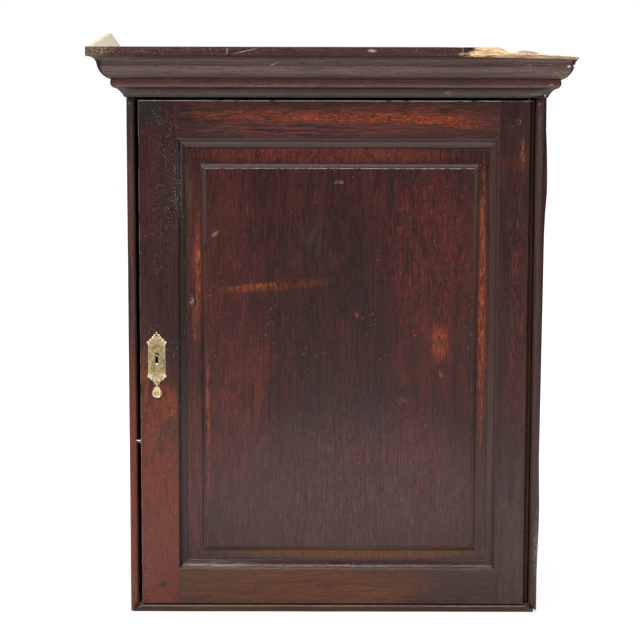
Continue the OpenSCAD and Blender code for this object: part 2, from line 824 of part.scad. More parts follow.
module pin_stile() {
    color(oak) difference() {
        stile(door_x1, -1, pin_stile_w, door_round, sh_x1);
        for (z = [door_z0 - past, door_z1 - pin_reach - past])
            translate([pin_x, pin_y, z]) cylinder(r = pin_r + run, h = pin_reach + 2 * past, $fn = 48);
    }
}

// One rail: z is its outer edge, side 1 is the bottom rail and -1 the top rail
module rail(z, side, flat, shoulder, heights) {
    inner = shoulder + side * mould_w;
    difference() {
        union() {
            intersection() {
                translate([sh_x0, face_y, z]) rotate([90, 0, 90]) linear_extrude(sh_x1 - sh_x0)
                    polygon([for (p = member(flat, 0)) [p[1], side * p[0]]]);
                upright(face_y - past, inner_y + past)
                    polygon([[sh_x0, z], [sh_x0, shoulder], [sh_x0 + mould_w, inner], [sh_x1 - mould_w, inner],
                             [sh_x1, shoulder], [sh_x1, z]]);
            }
            tenon(sh_x0, -1, heights[0], heights[1], 0);
            tenon(sh_x1, 1, heights[0], heights[1], 0);
        }
        peg_bores();
    }
}

module top_rail() {
    color(oak) rail(door_z1, -1, top_rail_w, sh_z1, tenon_head);
}

module bottom_rail() {
    color(oak) rail(door_z0, 1, bottom_rail_w, sh_z0, tenon_foot);
}

// Half of the panel's section, from its edge in the groove to its field: the margin rises in a
// hollow to a small step, and the panel has room to swell in the groove
step_h = 1.6;
step_w = 1;
swell_room = 1;
hollow_depth = 1;
function panel_half(margin) = concat(
    [[swell_room - groove_d, margin_d + tongue_t], [swell_room - groove_d, margin_d], [margin, margin_d]],
    arc([margin, margin_d], [margin + field_edge - step_w, field_d + step_h], -hollow_depth, 6),
    [[margin + field_edge - step_w * 0.6, field_d + step_h], [margin + field_edge, field_d]]
);

// The whole section over an opening from a to b
function panel_section(a, b, first, last) = let (half = panel_half(last), n = len(half) - 1) concat(
    [for (p = panel_half(first)) [a + p[0], p[1]]], [for (i = [n:-1:0]) [b - half[i][0], half[i][1]]]);

module door_panel() {
    x0 = sh_x0 + mould_w;
    x1 = sh_x1 - mould_w;
    z0 = sh_z0 + mould_w;
    z1 = sh_z1 - mould_w;
    color(oak) intersection() {
        translate([0, face_y, z0 - groove_d]) linear_extrude(z1 - z0 + 2 * groove_d)
            polygon(panel_section(x0, x1, margin_left, margin_right));
        translate([x0 - groove_d, face_y, 0]) rotate([90, 0, 90]) linear_extrude(x1 - x0 + 2 * groove_d)
            polygon([for (p = panel_section(z0, z1, margin_foot, margin_top)) [p[1], p[0]]]);
    }
}

module door_pegs() {
    color(old_oak) for (p = peg_places) translate([p[0], inner_y, p[1]]) rotate([90, 0, 0])
        cylinder(d = peg_dia, h = door_t, $fn = 48);
}

// The four screws of the lock, in its flanges
lock_screw_r = 1.6;
lock_screw_l = 14;
lock_screw_places = [for (x = [door_x0 + 8, door_x0 + lock_w - 8],
                          z = [lock_z0 - lock_flange / 2, lock_z0 + lock_h + lock_flange / 2]) [x, z]];

module lock_screw_bores() {
    for (p = lock_screw_places) translate([p[0], inner_y + lock_plate_t + past, p[1]]) rotate([90, 0, 0])
        cylinder(r = lock_screw_r + snug, h = lock_screw_l + past + snug, $fn = 24);
}

module lock_backplate() {
    color(iron) difference() {
        span([door_x0, inner_y, lock_z0 - lock_flange],
             [door_x0 + lock_w, inner_y + lock_plate_t, lock_z0 + lock_h + lock_flange]);
        translate([key_x, 0, key_z]) upright(inner_y - past, inner_y + lock_plate_t + past) keyhole(0.5);
        lock_screw_bores();
    }
}

module lock_case() {
    t = lock_plate_t;
    y0 = inner_y + t;
    y1 = inner_y + lock_d;
    color(iron) {
        difference() {
            span([door_x0, y0, lock_z0], [door_x0 + lock_w, y1, lock_z0 + lock_h]);
            span([door_x0 + t, y0 - past, lock_z0 + t], [door_x0 + lock_w - t, y1 - t, lock_z0 + lock_h - t]);
            span([door_x0 - past, bolt_y - bolt_t / 2 - slip, bolt_z0 - slip],
                 [door_x0 + t + past, bolt_y + bolt_t / 2 + slip, bolt_z0 + bolt_h + slip]);
            translate([key_x, y1 - t - past, key_z]) rotate([-90, 0, 0])
                cylinder(r = key_pin_r + snug, h = t + 2 * past, $fn = 32);
        }
        span([door_x0 + bolt_l - 12, bolt_y - bolt_t / 2, bolt_z0 - slip - 4],
             [door_x0 + bolt_l - 4, y1 - t, bolt_z0 - slip]);
    }
}

module key_pin() {
    color(iron) translate([key_x, face_y - plate_t * 0.6, key_z]) rotate([-90, 0, 0])
        cylinder(r = key_pin_r, h = plate_t * 0.6 + door_t + lock_d, $fn = 32);
}

module lock_screws() {
    color(iron) for (p = lock_screw_places) translate([p[0], inner_y + lock_plate_t, p[1]]) rotate([90, 0, 0]) {
        cylinder(r = lock_screw_r, h = lock_screw_l, $fn = 24);
        translate([0, 0, -head_t]) cylinder(r1 = head_r * 0.6, r2 = head_r, h = head_t, $fn = 24);
    }
}

module lock_bolt() {
    color(iron) span([door_x0 + 0.2, bolt_y - bolt_t / 2, bolt_z0],
                     [door_x0 + bolt_l, bolt_y + bolt_t / 2, bolt_z0 + bolt_h]);
}

// The brass plate is drawn with its origin at the key's pin
plate_foot = body_z0 - key_z;
plate_head = body_z1 - key_z;
half_plate = plate_w / 2;

// Small lobes along the crest and the apron: place along X, height and radius
crest_lobes = [for (t = [0, 0.27, 0.53])
    [(half_plate - 0.5) * (1 - t), plate_head + 2 + (crest_h - 5) * t, 2.6 - t]];
finial_lobes = [[3.4, plate_head + crest_h - 5.6, 1.9]];
apron_lobes = [[half_plate - 1.6, plate_foot - 5, 3.1], [half_plate - 4.8, plate_foot - 9.2, 2.4],
               [half_plate - 9, plate_foot - 12.2, 2.1]];
// Corners of the blank between its body and its tips, as places along X and heights
crest_waist = [[10.4, plate_head + 2.4], [6.8, plate_head + 6.6], [3.4, plate_head + crest_h - 7]];
apron_waist = [[half_plate - 1, plate_foot - 3], [half_plate - 4.6, plate_foot - 6.6],
               [half_plate - 8.6, plate_foot - 10]];
function mirrored(points) = [for (p = points) [-p[0], p[1]]];
function backwards(points) = [for (i = [len(points) - 1:-1:0]) points[i]];

// A disc of the plate's thickness, standing on the door's face
module plate_disc(x, z, r) {
    translate([x, face_y, z]) rotate([90, 0, 0]) cylinder(r = r, h = plate_t, $fn = 48);
}

module plate_blank() {
    upright(face_y - plate_t, face_y)
        polygon(concat([[-half_plate, plate_foot]], mirrored(apron_waist),
                       [[-2.4, eye_z - key_z], [2.4, eye_z - key_z]], backwards(apron_waist),
                       [[half_plate, plate_foot], [half_plate, plate_head]], crest_waist,
                       [[0, plate_head + crest_h - 1.5]], backwards(mirrored(crest_waist)),
                       [[-half_plate, plate_head]]));
    for (s = [-1, 1], p = concat(crest_lobes, finial_lobes, apron_lobes)) plate_disc(s * p[0], p[1], p[2]);
    plate_disc(0, plate_head + crest_h - 1.6, 1.6);
    plate_disc(0, eye_z - key_z, eye_r);
}

// The holes through the plate: keyhole, eye, and the piercings of the crest
module plate_holes() {
    upright(face_y - plate_t - past, face_y + past) {
        keyhole(0);
        translate([0, eye_z - key_z]) circle(r = eye_hole, $fn = 32);
        for (s = [-1, 1]) translate([s * 5.2, plate_head + 4.5]) circle(r = 1, $fn = 24);
        translate([0, plate_head + crest_h - 6.5]) circle(r = 1, $fn = 24);
    }
}

plate_pin_r = 0.7;
plate_pin_l = 9;
plate_pin_places = [[key_x, body_z1 + crest_h * 0.42], [key_x - plate_w * 0.36, body_z0 + 2.6],
                    [key_x + plate_w * 0.36, body_z0 + 2.6]];

module escutcheon() {
    color(brass) difference() {
        translate([key_x, 0, key_z]) plate_blank();
        translate([key_x, 0, key_z]) plate_holes();
        span([key_x - half_plate + 2, face_y - plate_t - past, body_z0 + 2],
             [key_x + half_plate - 2, face_y - plate_t + 0.35, body_z1 - 2]);
        for (p = plate_pin_places) translate([p[0], face_y - plate_t - past, p[1]]) rotate([-90, 0, 0])
            cylinder(r = plate_pin_r + snug, h = plate_t + 2 * past, $fn = 24);
    }
}

module escutcheon_pins() {
    color(brass) for (p = plate_pin_places) translate([p[0], face_y - plate_t, p[1]]) rotate([-90, 0, 0]) {
        cylinder(r = plate_pin_r, h = plate_t + plate_pin_l, $fn = 24);
        translate([0, 0, -0.7]) cylinder(r1 = plate_pin_r, r2 = plate_pin_r * 1.9, h = 0.7, $fn = 24);
    }
}

// The drop: a wire loop through the plate's eye, and a disc with a raised boss
drop_y = face_y - 0.6 - drop_t / 2;

module drop_handle() {
    color(brass) {
        translate([key_x, loop_y, loop_z]) rotate([0, 90, 0]) rotate_extrude($fn = 48)
            translate([loop_r, 0]) circle(r = loop_wire, $fn = 24);
        translate([key_x, loop_y, loop_z]) span([-1.1, -1.4, -loop_r - 4], [1.1, 0.3, -loop_r]);
        translate([key_x, drop_y + drop_t / 2, loop_z - drop_l]) rotate([90, 0, 0]) rotate_extrude($fn = 64)
            polygon(concat([[0, 0], [drop_r - 1, 0], [drop_r, 1]],
                           arc([drop_r, 1], [drop_r - 2, drop_t - 0.6], -0.4, 4),
                           [[drop_r - 3, drop_t - 1.2], [3.2, drop_t - 1.2]],
                           arc([3.2, drop_t - 1.2], [0, drop_t], -0.5, 4)));
        translate([key_x, drop_y + drop_t / 2, loop_z - drop_l + 5.2]) rotate([90, 0, 0])
            cylinder(r = 5.6, h = drop_t - 1, $fn = 48);
    }
}

left_side();
right_side();
top_board();
bottom_board();
back_board(0);  // back_board_1
back_board(1);  // back_board_2
back_board(2);  // back_board_3
back_board(3);  // back_board_4
hanging_rail();
shelf(upper_z);  // upper_shelf
shelf(lower_z);  // lower_shelf
bearer(-1, upper_z);  // upper_left_bearer
bearer(1, upper_z);  // upper_right_bearer
bearer(-1, lower_z);  // lower_left_bearer
bearer(1, lower_z);  // lower_right_bearer
left_bead();
right_bead();
bottom_bead();
cornice_front();
cornice_left_return();
front_glue_blocks();
left_glue_blocks();
top_nails();
base_nails();
back_nails();
bearer_nails();
rail_nails();
lower_pivot_pin();
upper_pivot_pin();
pivot_washer();
door_stop_pin();
lock_stile();
pin_stile();
top_rail();
bottom_rail();
door_panel();
door_pegs();
lock_backplate();
lock_case();
key_pin();
lock_screws();
lock_bolt();
escutcheon();
escutcheon_pins();
drop_handle();
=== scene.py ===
"""The looks of a hanging wall cupboard in joined oak: its worn arrises, stained and bare wood, brass and iron."""

import logging
import math
import random
from collections.abc import Callable, Iterable
from dataclasses import dataclass, field
from enum import Enum

import bmesh
import bpy
from mathutils import Matrix, Vector, noise


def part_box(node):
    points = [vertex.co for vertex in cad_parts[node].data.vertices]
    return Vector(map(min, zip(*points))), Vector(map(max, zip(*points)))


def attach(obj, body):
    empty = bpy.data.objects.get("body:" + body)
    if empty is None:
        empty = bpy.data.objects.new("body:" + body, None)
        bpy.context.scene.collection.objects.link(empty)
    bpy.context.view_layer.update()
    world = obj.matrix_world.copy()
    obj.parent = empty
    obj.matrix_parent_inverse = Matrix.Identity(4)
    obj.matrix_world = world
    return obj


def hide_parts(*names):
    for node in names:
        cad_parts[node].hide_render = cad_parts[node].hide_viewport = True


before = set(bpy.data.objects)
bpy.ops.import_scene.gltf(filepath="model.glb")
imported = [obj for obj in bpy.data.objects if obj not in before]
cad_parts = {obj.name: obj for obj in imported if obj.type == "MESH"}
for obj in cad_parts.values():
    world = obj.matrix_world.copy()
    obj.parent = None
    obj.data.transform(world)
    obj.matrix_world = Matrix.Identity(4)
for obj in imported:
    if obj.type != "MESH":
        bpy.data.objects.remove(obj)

LOG = logging.getLogger("cupboard")

# One millimetre in the frame's metres
MM = 0.001

# Every random draw and noise starts from this, so that each run gives the same shapes
SEED = 7

# Edges that turn by less than this, in degrees, stay sharp
ARRIS_TURN = 40.0
# Distance between the cuts across a moulding where it may waver, in millimetres
PLANE_STEP = 14
# Length of one wave of that wavering, in millimetres
PLANE_WAVE = 45
# Oak under stain, wax or dust bends light about as much as this
OAK_IOR = 1.47
# Half the length of a band that runs along the whole cornice, in millimetres
BAND_REACH = 1200

# Corner attributes that the finishes read; arris and grime also carry painted highlights and painted shade
ARRIS = "arris"
BARE = "bare"
GRIME = "grime"

BACK = Vector((0, 1, 0))
LEFT = Vector((-1, 0, 0))
RIGHT = Vector((1, 0, 0))
UP = Vector((0, 0, 1))

Socket = bpy.types.NodeSocket
# Says from a face's middle, in millimetres, and its normal how strong an attribute is there
Share = Callable[[Vector, Vector], float]
# Gives a share from 0 at a place, in millimetres
Wear = Callable[[Vector], float]
# A coat of colour: where it lies, what it is, and how it mixes with what is under it
Coat = tuple[Socket | float, str | Socket, str]


def linear(colour: str) -> tuple[float, float, float, float]:
    """Turns an sRGB hex colour to linear light.

    Args:
        colour: The colour as #rrggbb.

    Returns:
        Red, green and blue in linear light, and an alpha of 1.
    """
    parts = [int(colour[i:i + 2], 16) / 255 for i in (1, 3, 5)]
    lit = [c / 12.92 if c <= 0.04045 else ((c + 0.055) / 1.055) ** 2.4 for c in parts]
    return (*lit, 1.0)


def add_node(tree: bpy.types.NodeTree, kind: str, inputs: dict | None = None,
             **settings: object) -> bpy.types.Node:
    """Adds a node to a tree.

    Args:
        tree: The tree that the node goes into.
        kind: The node's type name.
        inputs: For each input, by name or place, the output that feeds it or its value.
        settings: The node's own settings.

    Returns:
        The new node.
    """
    node = tree.nodes.new(kind)
    for name, value in settings.items():
        setattr(node, name, value)
    for key, value in (inputs or {}).items():
        if isinstance(value, bpy.types.NodeSocket):
            tree.links.new(value, node.inputs[key])
        else:
            node.inputs[key].default_value = value
    return node


class Grain(Enum):
    """The way that a board's grain runs."""

    X = 0
    Y = 1
    Z = 2

    def scale(self, across: float, along: float) -> Vector:
        """Gives a pattern's scale from its size across and along the grain, in millimetres."""
        sizes = [across * MM] * 3
        sizes[self.value] = along * MM
        return Vector([1 / s for s in sizes])


@dataclass(frozen=True)
class Place:
    """A soft oval on the front of the cupboard, in millimetres from the frame's origin.

    lean turns it, in degrees, with the right end up.
    """

    x: float
    z: float
    half_w: float
    half_h: float
    lean: float = 0.0


@dataclass(frozen=True)
class Mark:
    """Streaks or stains of one colour that follow the grain; some stand for painted shade, highlights and
    reflections.

    across and along are their size in millimetres. They show where a noise of that size lies above low, and
    fully above high. strength is how much they cover, wander how crooked they are, and place keeps them to one
    oval.
    """

    colour: str
    across: float
    along: float
    low: float
    high: float
    strength: float = 1.0
    place: Place | None = None
    wander: float = 0.5


def band(colour: str, across: float, along: float, low: float, high: float, strength: float, height: float,
         half_h: float) -> Mark:
    """Gives a mark that runs along the whole cornice at one height."""
    return Mark(colour, across, along, low, high, strength, Place(0, height, BAND_REACH, half_h))


def even_mark(colour: str, strength: float, place: Place) -> Mark:
    """Gives a mark that covers its whole place evenly."""
    return Mark(colour, 30, 30, 0.05, 0.15, strength, place)


class Surface:
    """The shader tree of one finish while it is built."""

    def __init__(self, name: str, grain: Grain, turn: float) -> None:
        """Starts the tree.

        Args:
            name: The material's name.
            grain: The way that the grain runs.
            turn: Moves every pattern, so that no two boards are alike.
        """
        self.material = bpy.data.materials.new(name)
        self.material.use_nodes = True
        self.tree = self.material.node_tree
        self.tree.nodes.clear()
        self.grain = grain
        self.turn = turn
        self.coords = add_node(self.tree, "ShaderNodeTexCoord").outputs["Object"]

    def grained(self, across: float, along: float, detail: float = 2.0, wander: float = 0.0) -> Socket:
        """Draws a noise that is stretched along the grain.

        Args:
            across: Size across the grain, in millimetres.
            along: Size along the grain, in millimetres.
            detail: How many finer noises it holds.
            wander: How crooked it is.

        Returns:
            The noise, from 0 to 1.
        """
        self.turn += 7.31
        placed = add_node(self.tree, "ShaderNodeMapping", {
            "Vector": self.coords,
            "Location": (self.turn, self.turn * 0.37, self.turn * 0.71),
            "Scale": self.grain.scale(across, along),
        })
        return add_node(self.tree, "ShaderNodeTexNoise", {
            "Vector": placed.outputs[0], "Scale": 1.0, "Detail": detail, "Roughness": 0.6, "Distortion": wander,
        }).outputs[0]

    def patches(self, across: float, along: float, low: float, high: float, top: float = 1.0, base: float = 0.0,
                detail: float = 2.0, wander: float = 0.0) -> Socket:
        """Draws soft patches that are stretched along the grain.

        Args:
            across: Size across the grain, in millimetres.
            along: Size along the grain, in millimetres.
            low: The noise's value up to which the result is base.
            high: The noise's value from which the result is top.
            top: The result within a patch.
            base: The result between the patches.
            detail: How many finer noises it holds.
            wander: How crooked the patches are.

        Returns:
            The result, from base to top.
        """
        return add_node(self.tree, "ShaderNodeMapRange", {
            "Value": self.grained(across, along, detail, wander),
            "From Min": low, "From Max": high, "To Min": base, "To Max": top,
        }, interpolation_type="SMOOTHSTEP").outputs[0]

    def oval(self, place: Place) -> Socket:
        """Draws a place's soft oval as a mask from 0 to 1."""
        centre = Vector((place.x * MM, 0, place.z * MM))
        centred = add_node(self.tree, "ShaderNodeVectorMath", {0: self.coords, 1: -centre}, operation="ADD")
        turned = add_node(self.tree, "ShaderNodeMapping", {
            "Vector": centred.outputs[0], "Rotation": (0, math.radians(place.lean), 0),
        })
        spread = add_node(self.tree, "ShaderNodeVectorMath", {
            0: turned.outputs[0], 1: (1 / (place.half_w * MM), 0, 1 / (place.half_h * MM)),
        }, operation="MULTIPLY")
        far = add_node(self.tree, "ShaderNodeVectorMath", {0: spread.outputs[0]}, operation="LENGTH")
        return add_node(self.tree, "ShaderNodeMapRange", {
            "Value": far.outputs["Value"], "From Min": 0.45, "From Max": 1.1, "To Min": 1.0, "To Max": 0.0,
        }, interpolation_type="SMOOTHSTEP").outputs[0]

    def both(self, one: Socket, other: Socket | float) -> Socket:
        """Gives the mask where two masks meet, never more than 1."""
        return add_node(self.tree, "ShaderNodeMath", {0: one, 1: other}, operation="MULTIPLY",
                        use_clamp=True).outputs[0]

    def marked(self, mark: Mark) -> Coat:
        """Draws a mark as a coat."""
        mask = self.patches(mark.across, mark.along, mark.low, mark.high, mark.strength, wander=mark.wander)
        if mark.place is not None:
            mask = self.both(mask, self.oval(mark.place))
        return mask, mark.colour, "MIX"

    def specks(self, cell: float, radius: float, share: float) -> Socket:
        """Scatters small specks, such as dust and nicks, as a mask.

        Args:
            cell: Distance between places where a speck may be, in millimetres.
            radius: A speck's radius, in millimetres.
            share: Share of the places that hold a speck, from 0 to 1.

        Returns:
            The mask.
        """
        cells = add_node(self.tree, "ShaderNodeTexVoronoi", {"Vector": self.coords, "Scale": 1 / (cell * MM)})
        near = add_node(self.tree, "ShaderNodeMapRange", {
            "Value": cells.outputs["Distance"], "From Min": radius / cell * 0.5, "From Max": radius / cell,
            "To Min": 1.0, "To Max": 0.0,
        })
        chance = add_node(self.tree, "ShaderNodeSeparateColor", {0: cells.outputs["Color"]})
        luck = self.both(chance.outputs[0], self.patches(45, 90, 0.3, 0.7))
        held = add_node(self.tree, "ShaderNodeMath", {0: luck, 1: 1 - share}, operation="GREATER_THAN")
        return self.both(near.outputs[0], held.outputs[0])

    def corner(self, name: str) -> Socket:
        """Reads one of the corner attributes of the mesh."""
        return add_node(self.tree, "ShaderNodeAttribute", attribute_name=name).outputs["Fac"]

    def coated(self, ground: str | Socket, coats: Iterable[Coat]) -> Socket:
        """Lays coats of colour over a ground, one after the other.

        Args:
            ground: The colour under all of them.
            coats: The coats, from the lowest.

        Returns:
            The colour that is seen.
        """
        for mask, hue, way in coats:
            under, over = (linear(c) if isinstance(c, str) else c for c in (ground, hue))
            ground = add_node(self.tree, "ShaderNodeMix", {0: mask, 6: under, 7: over}, data_type="RGBA",
                              blend_type=way).outputs[2]
        return ground

    def close(self, colour: Socket, roughness: Socket, height: Socket, depth: float,
              **looks: float) -> bpy.types.Material:
        """Ends the tree with its shader.

        Args:
            colour: The surface's colour.
            roughness: Its roughness.
            height: Its fine relief, from 0 to 1.
            depth: The relief's depth in millimetres.
            looks: The shader's other sockets, by name.

        Returns:
            The finished material.
        """
        relief = add_node(self.tree, "ShaderNodeBump", {"Height": height, "Distance": depth * MM, "Strength": 0.6})
        shader = add_node(self.tree, "ShaderNodeBsdfPrincipled", {
            "Base Color": colour, "Roughness": roughness, "Normal": relief.outputs[0], **looks,
        })
        add_node(self.tree, "ShaderNodeOutputMaterial", {"Surface": shader.outputs[0]})
        return self.material


@dataclass(frozen=True)
class StainedOak:
    """Quartered oak, planed by hand, stained dark red and waxed for two centuries.

    The eye sees a deep red-brown ground with soft red clouds where the stain is rubbed thin, short dark and
    pale pores along the grain, orange streaks where it is worn through, and a wax sheen that greys what faces
    the floor. Hollows and quirks hold grey-brown dirt; marks, some of them painted shade, highlights and
    reflections, lie under it, and rubs over it.
    """

    name: str
    grain: Grain
    ground: str = "#451f19"
    deep: str = "#2b1411"
    cloud: str = "#6a2620"
    clouding: float = 0.4
    cloud_size: tuple[float, float] = (14, 46)
    marks: tuple[Mark, ...] = ()
    rubs: tuple[Mark, ...] = ()
    arris: str = "#8d7668"
    bare: str = "#735c45"
    aged: float = 0.6
    grime: str = "#41372f"
    streak: float = 1.0
    specks: float = 0.12
    roughness: float = 0.32
    turn: float = 0.0
    pore: str = "#150b0a"
    pale_pore: str = "#66463a"
    dust: str = "#b3a79b"
    raw_dark: str = "#3f3023"
    raw_pale: str = "#8d7456"
    raw_pore: str = "#2b2018"

    def make(self) -> bpy.types.Material:
        """Builds the material."""
        wood = Surface(self.name, self.grain, self.turn)
        stain = wood.coated(self.deep, [
            (wood.patches(26, 240, 0.34, 0.66, detail=3.0), self.ground, "MIX"),
            (wood.patches(*self.cloud_size, 0.5, 0.68, self.clouding, detail=4.0, wander=0.5), self.cloud, "MIX"),
            *[wood.marked(mark) for mark in self.marks],
        ])
        # Real oak fibres lie closer than a pixel; these are drawn 2 mm apart, so that they show
        contrast = 0.24 * self.streak
        fibres = wood.patches(1.8, 42, 0.3, 0.7, 1 + contrast, 1 - contrast, detail=3.0)
        mottle = wood.patches(3.6, 14, 0.3, 0.7, 1.12, 0.88, detail=4.0)
        pores = wood.patches(1.35, 9, 0.59, 0.68, 0.62, detail=1.0)
        raw = wood.corner(BARE)
        colour = wood.coated(stain, [
            (1.0, fibres, "MULTIPLY"),
            (1.0, mottle, "MULTIPLY"),
            (wood.patches(1.3, 8, 0.60, 0.70, 0.26, detail=1.0), self.pale_pore, "MIX"),
            (pores, self.pore, "MIX"),
            (wood.both(wood.corner(GRIME), wood.patches(4, 40, 0.2, 0.7, 0.95, 0.7)), self.grime, "MIX"),
            *[wood.marked(mark) for mark in self.rubs],
            (wood.specks(4.0, 0.7, self.specks), self.dust, "MIX"),
            # Pale arrises: rubbed edges, and painted highlights along the tops of the door and of the panel's
            # field
            (wood.both(wood.corner(ARRIS), wood.patches(5, 24, 0.34, 0.60)), self.arris, "MIX"),
        ])
        gloss = wood.patches(2.5, 26, 0.3, 0.7, self.roughness - 0.05, self.roughness + 0.09)
        dry = wood.coated(self.bare, [
            (wood.patches(40, 170, 0.35, 0.65, self.aged, detail=4.0), self.raw_dark, "MIX"),
            (wood.patches(9, 60, 0.50, 0.70, self.aged * 0.6, detail=3.0), self.raw_pale, "MIX"),
            (1.0, fibres, "MULTIPLY"),
            (wood.patches(1.6, 14, 0.61, 0.69, self.aged), self.raw_pore, "MIX"),
        ])
        rough = add_node(wood.tree, "ShaderNodeMix", {0: raw, 2: gloss, 3: 0.85})
        height = add_node(wood.tree, "ShaderNodeMath", {0: fibres, 1: pores}, operation="SUBTRACT")
        return wood.close(wood.coated(colour, [(raw, dry, "MIX")]), rough.outputs[0], height.outputs[0], 0.3,
                          IOR=OAK_IOR)


@dataclass(frozen=True)
class DryWood:
    """Unfinished oak or pine inside and behind, left from the saw and plane.

    The eye sees dull brown or straw wood with grey dirt, plain fibres and no sheen.
    """

    name: str
    grain: Grain
    ground: str
    dirt: str
    pore: str = "#2e2219"
    turn: float = 0.0
    dust: str = "#c0ab8c"

    def make(self) -> bpy.types.Material:
        """Builds the material."""
        wood = Surface(self.name, self.grain, self.turn)
        fibres = wood.patches(2.2, 70, 0.28, 0.72, 1.25, 0.7, detail=3.0)
        pores = wood.patches(1.6, 14, 0.62, 0.70, 0.6, detail=1.0)
        colour = wood.coated(self.ground, [
            (wood.patches(45, 180, 0.35, 0.7, detail=4.0), self.dirt, "MIX"),
            (1.0, fibres, "MULTIPLY"),
            (pores, self.pore, "MIX"),
            (wood.both(wood.corner(ARRIS), 0.5), self.dust, "MIX"),
        ])
        height = add_node(wood.tree, "ShaderNodeMath", {0: fibres, 1: pores}, operation="SUBTRACT")
        return wood.close(colour, wood.patches(3, 40, 0.3, 0.7, 0.75, 0.92), height.outputs[0], 0.4,
                          IOR=OAK_IOR)


@dataclass(frozen=True)
class TornOak:
    """Oak torn open along its grain, clean and pale against the stained skin.

    The eye sees cream and orange fibres in long steps, with darker lines between them.
    """

    name: str
    grain: Grain
    pale: str = "#ffe4b8"
    warm: str = "#e8ad72"
    dark: str = "#8a4f28"
    stain: str = "#b06a42"
    turn: float = 3.0

    def make(self) -> bpy.types.Material:
        """Builds the material."""
        wood = Surface(self.name, self.grain, self.turn)
        colour = wood.coated(self.pale, [
            (wood.patches(1.8, 34, 0.46, 0.60, 0.9, detail=3.0), self.warm, "MIX"),
            (wood.patches(1.2, 20, 0.54, 0.62, 0.8), self.dark, "MIX"),
            (wood.patches(5, 16, 0.60, 0.68, 0.6, wander=0.6), self.stain, "MIX"),
        ])
        rough = wood.patches(1.5, 30, 0.3, 0.7, 0.7, 0.9)
        return wood.close(colour, rough, wood.grained(1.0, 34), 0.5, IOR=1.5)


@dataclass(frozen=True)
class OldMetal:
    """Cast brass or forged iron, handled, and dulled by age.

    The eye sees bright metal where it is rubbed, and dark tarnish or rust where it isn't.
    """

    name: str
    bright: str
    dull: str
    grime: str
    patch: float = 6.0
    share: float = 0.5
    roughness: float = 0.38
    metallic: float = 1.0
    relief: float = 0.12
    marks: tuple[Mark, ...] = ()
    turn: float = 1.0

    def make(self) -> bpy.types.Material:
        """Builds the material."""
        cast = Surface(self.name, Grain.Z, self.turn)
        clouds = cast.patches(self.patch, self.patch, self.share - 0.12, self.share + 0.16, detail=4.0)
        colour = cast.coated(self.bright, [
            (clouds, self.dull, "MIX"),
            (cast.patches(self.patch * 0.2, self.patch * 0.2, 0.56, 0.72, 0.6), self.grime, "MIX"),
            *[cast.marked(mark) for mark in self.marks],
            # On the key plate's relief, grime is painted shade and arris a painted highlight; elsewhere they are
            # dirt and rubbed edges
            (cast.corner(GRIME), self.grime, "MIX"),
            (cast.corner(ARRIS), self.bright, "MIX"),
        ])
        rough = add_node(cast.tree, "ShaderNodeMapRange", {
            "Value": clouds, "To Min": self.roughness, "To Max": self.roughness + 0.16,
        })
        pits = cast.grained(self.patch * 0.2, self.patch * 0.2)
        return cast.close(colour, rough.outputs[0], pits, self.relief, Metallic=self.metallic)


# Thin red flecks and dark bands lie on every stained board
RED_FLECKS = Mark("#7a2a22", 2.4, 20, 0.60, 0.70, 0.8)
DARK_BANDS = Mark("#241312", 9, 150, 0.58, 0.78, 0.5)

LOCK_STILE_MARKS = (
    DARK_BANDS,
    Mark("#6d3223", 9, 40, 0.24, 0.55, 0.9, Place(-276, 150, 60, 245)),
    Mark("#843c24", 9, 26, 0.30, 0.56, 0.9, Place(-268, 335, 28, 40)),
    Mark("#84402a", 5, 20, 0.36, 0.56, 0.8, Place(-300, 380, 8, 60)),
    Mark("#863620", 9, 26, 0.42, 0.64, 0.6, Place(-280, 170, 34, 200)),
    Mark("#702f1f", 40, 120, 0.10, 0.40, 0.6, Place(-276, 160, 70, 260)),
    Mark("#8a4229", 3, 9, 0.50, 0.62, 0.7, Place(-292, 300, 12, 46)),
    Mark("#3c2926", 12, 20, 0.45, 0.62, 0.75, Place(-262, 270, 30, 60)),
    Mark("#6c2f22", 8, 30, 0.35, 0.60, 0.7, Place(-276, 80, 40, 110)),
    Mark("#6d2a28", 1.8, 9, 0.62, 0.68, 0.45, Place(-274, 600, 30, 170)),
    Mark("#2c2829", 9, 30, 0.28, 0.55, 0.85, Place(-290, 802, 28, 34)),
    Mark("#4f2320", 4, 14, 0.34, 0.58, 0.8, Place(-255, 788, 12, 26)),
    Mark("#4a3634", 9, 14, 0.45, 0.6, 0.5, Place(-270, 45, 14, 14)),
)
TOP_RAIL_MARKS = (
    DARK_BANDS,
    Mark("#6b3a35", 2.4, 46, 0.42, 0.60, 0.85, Place(-40, 776, 260, 16)),
    Mark("#743a2c", 6, 26, 0.38, 0.60, 0.8, Place(10, 795, 262, 16)),
    Mark("#a8421f", 1.7, 9, 0.52, 0.58, 0.9, Place(-120, 797, 150, 10)),
    Mark("#b4491c", 1.6, 8, 0.51, 0.57, 0.9, Place(60, 793, 170, 10)),
    Mark("#a9421d", 1.7, 9, 0.50, 0.56, 0.9, Place(170, 787, 90, 9, -6)),
    Mark("#8e3a1e", 2.2, 20, 0.50, 0.60, 0.8, Place(150, 805, 130, 9)),
    Mark("#c4561c", 1.5, 8, 0.55, 0.61, 0.85, Place(140, 791, 120, 9)),
    Mark("#7f3f44", 2.0, 22, 0.56, 0.66, 0.6, Place(-170, 768, 90, 8)),
    Mark("#2f1a18", 4, 18, 0.25, 0.50, 0.8, Place(-238, 792, 20, 30)),
)
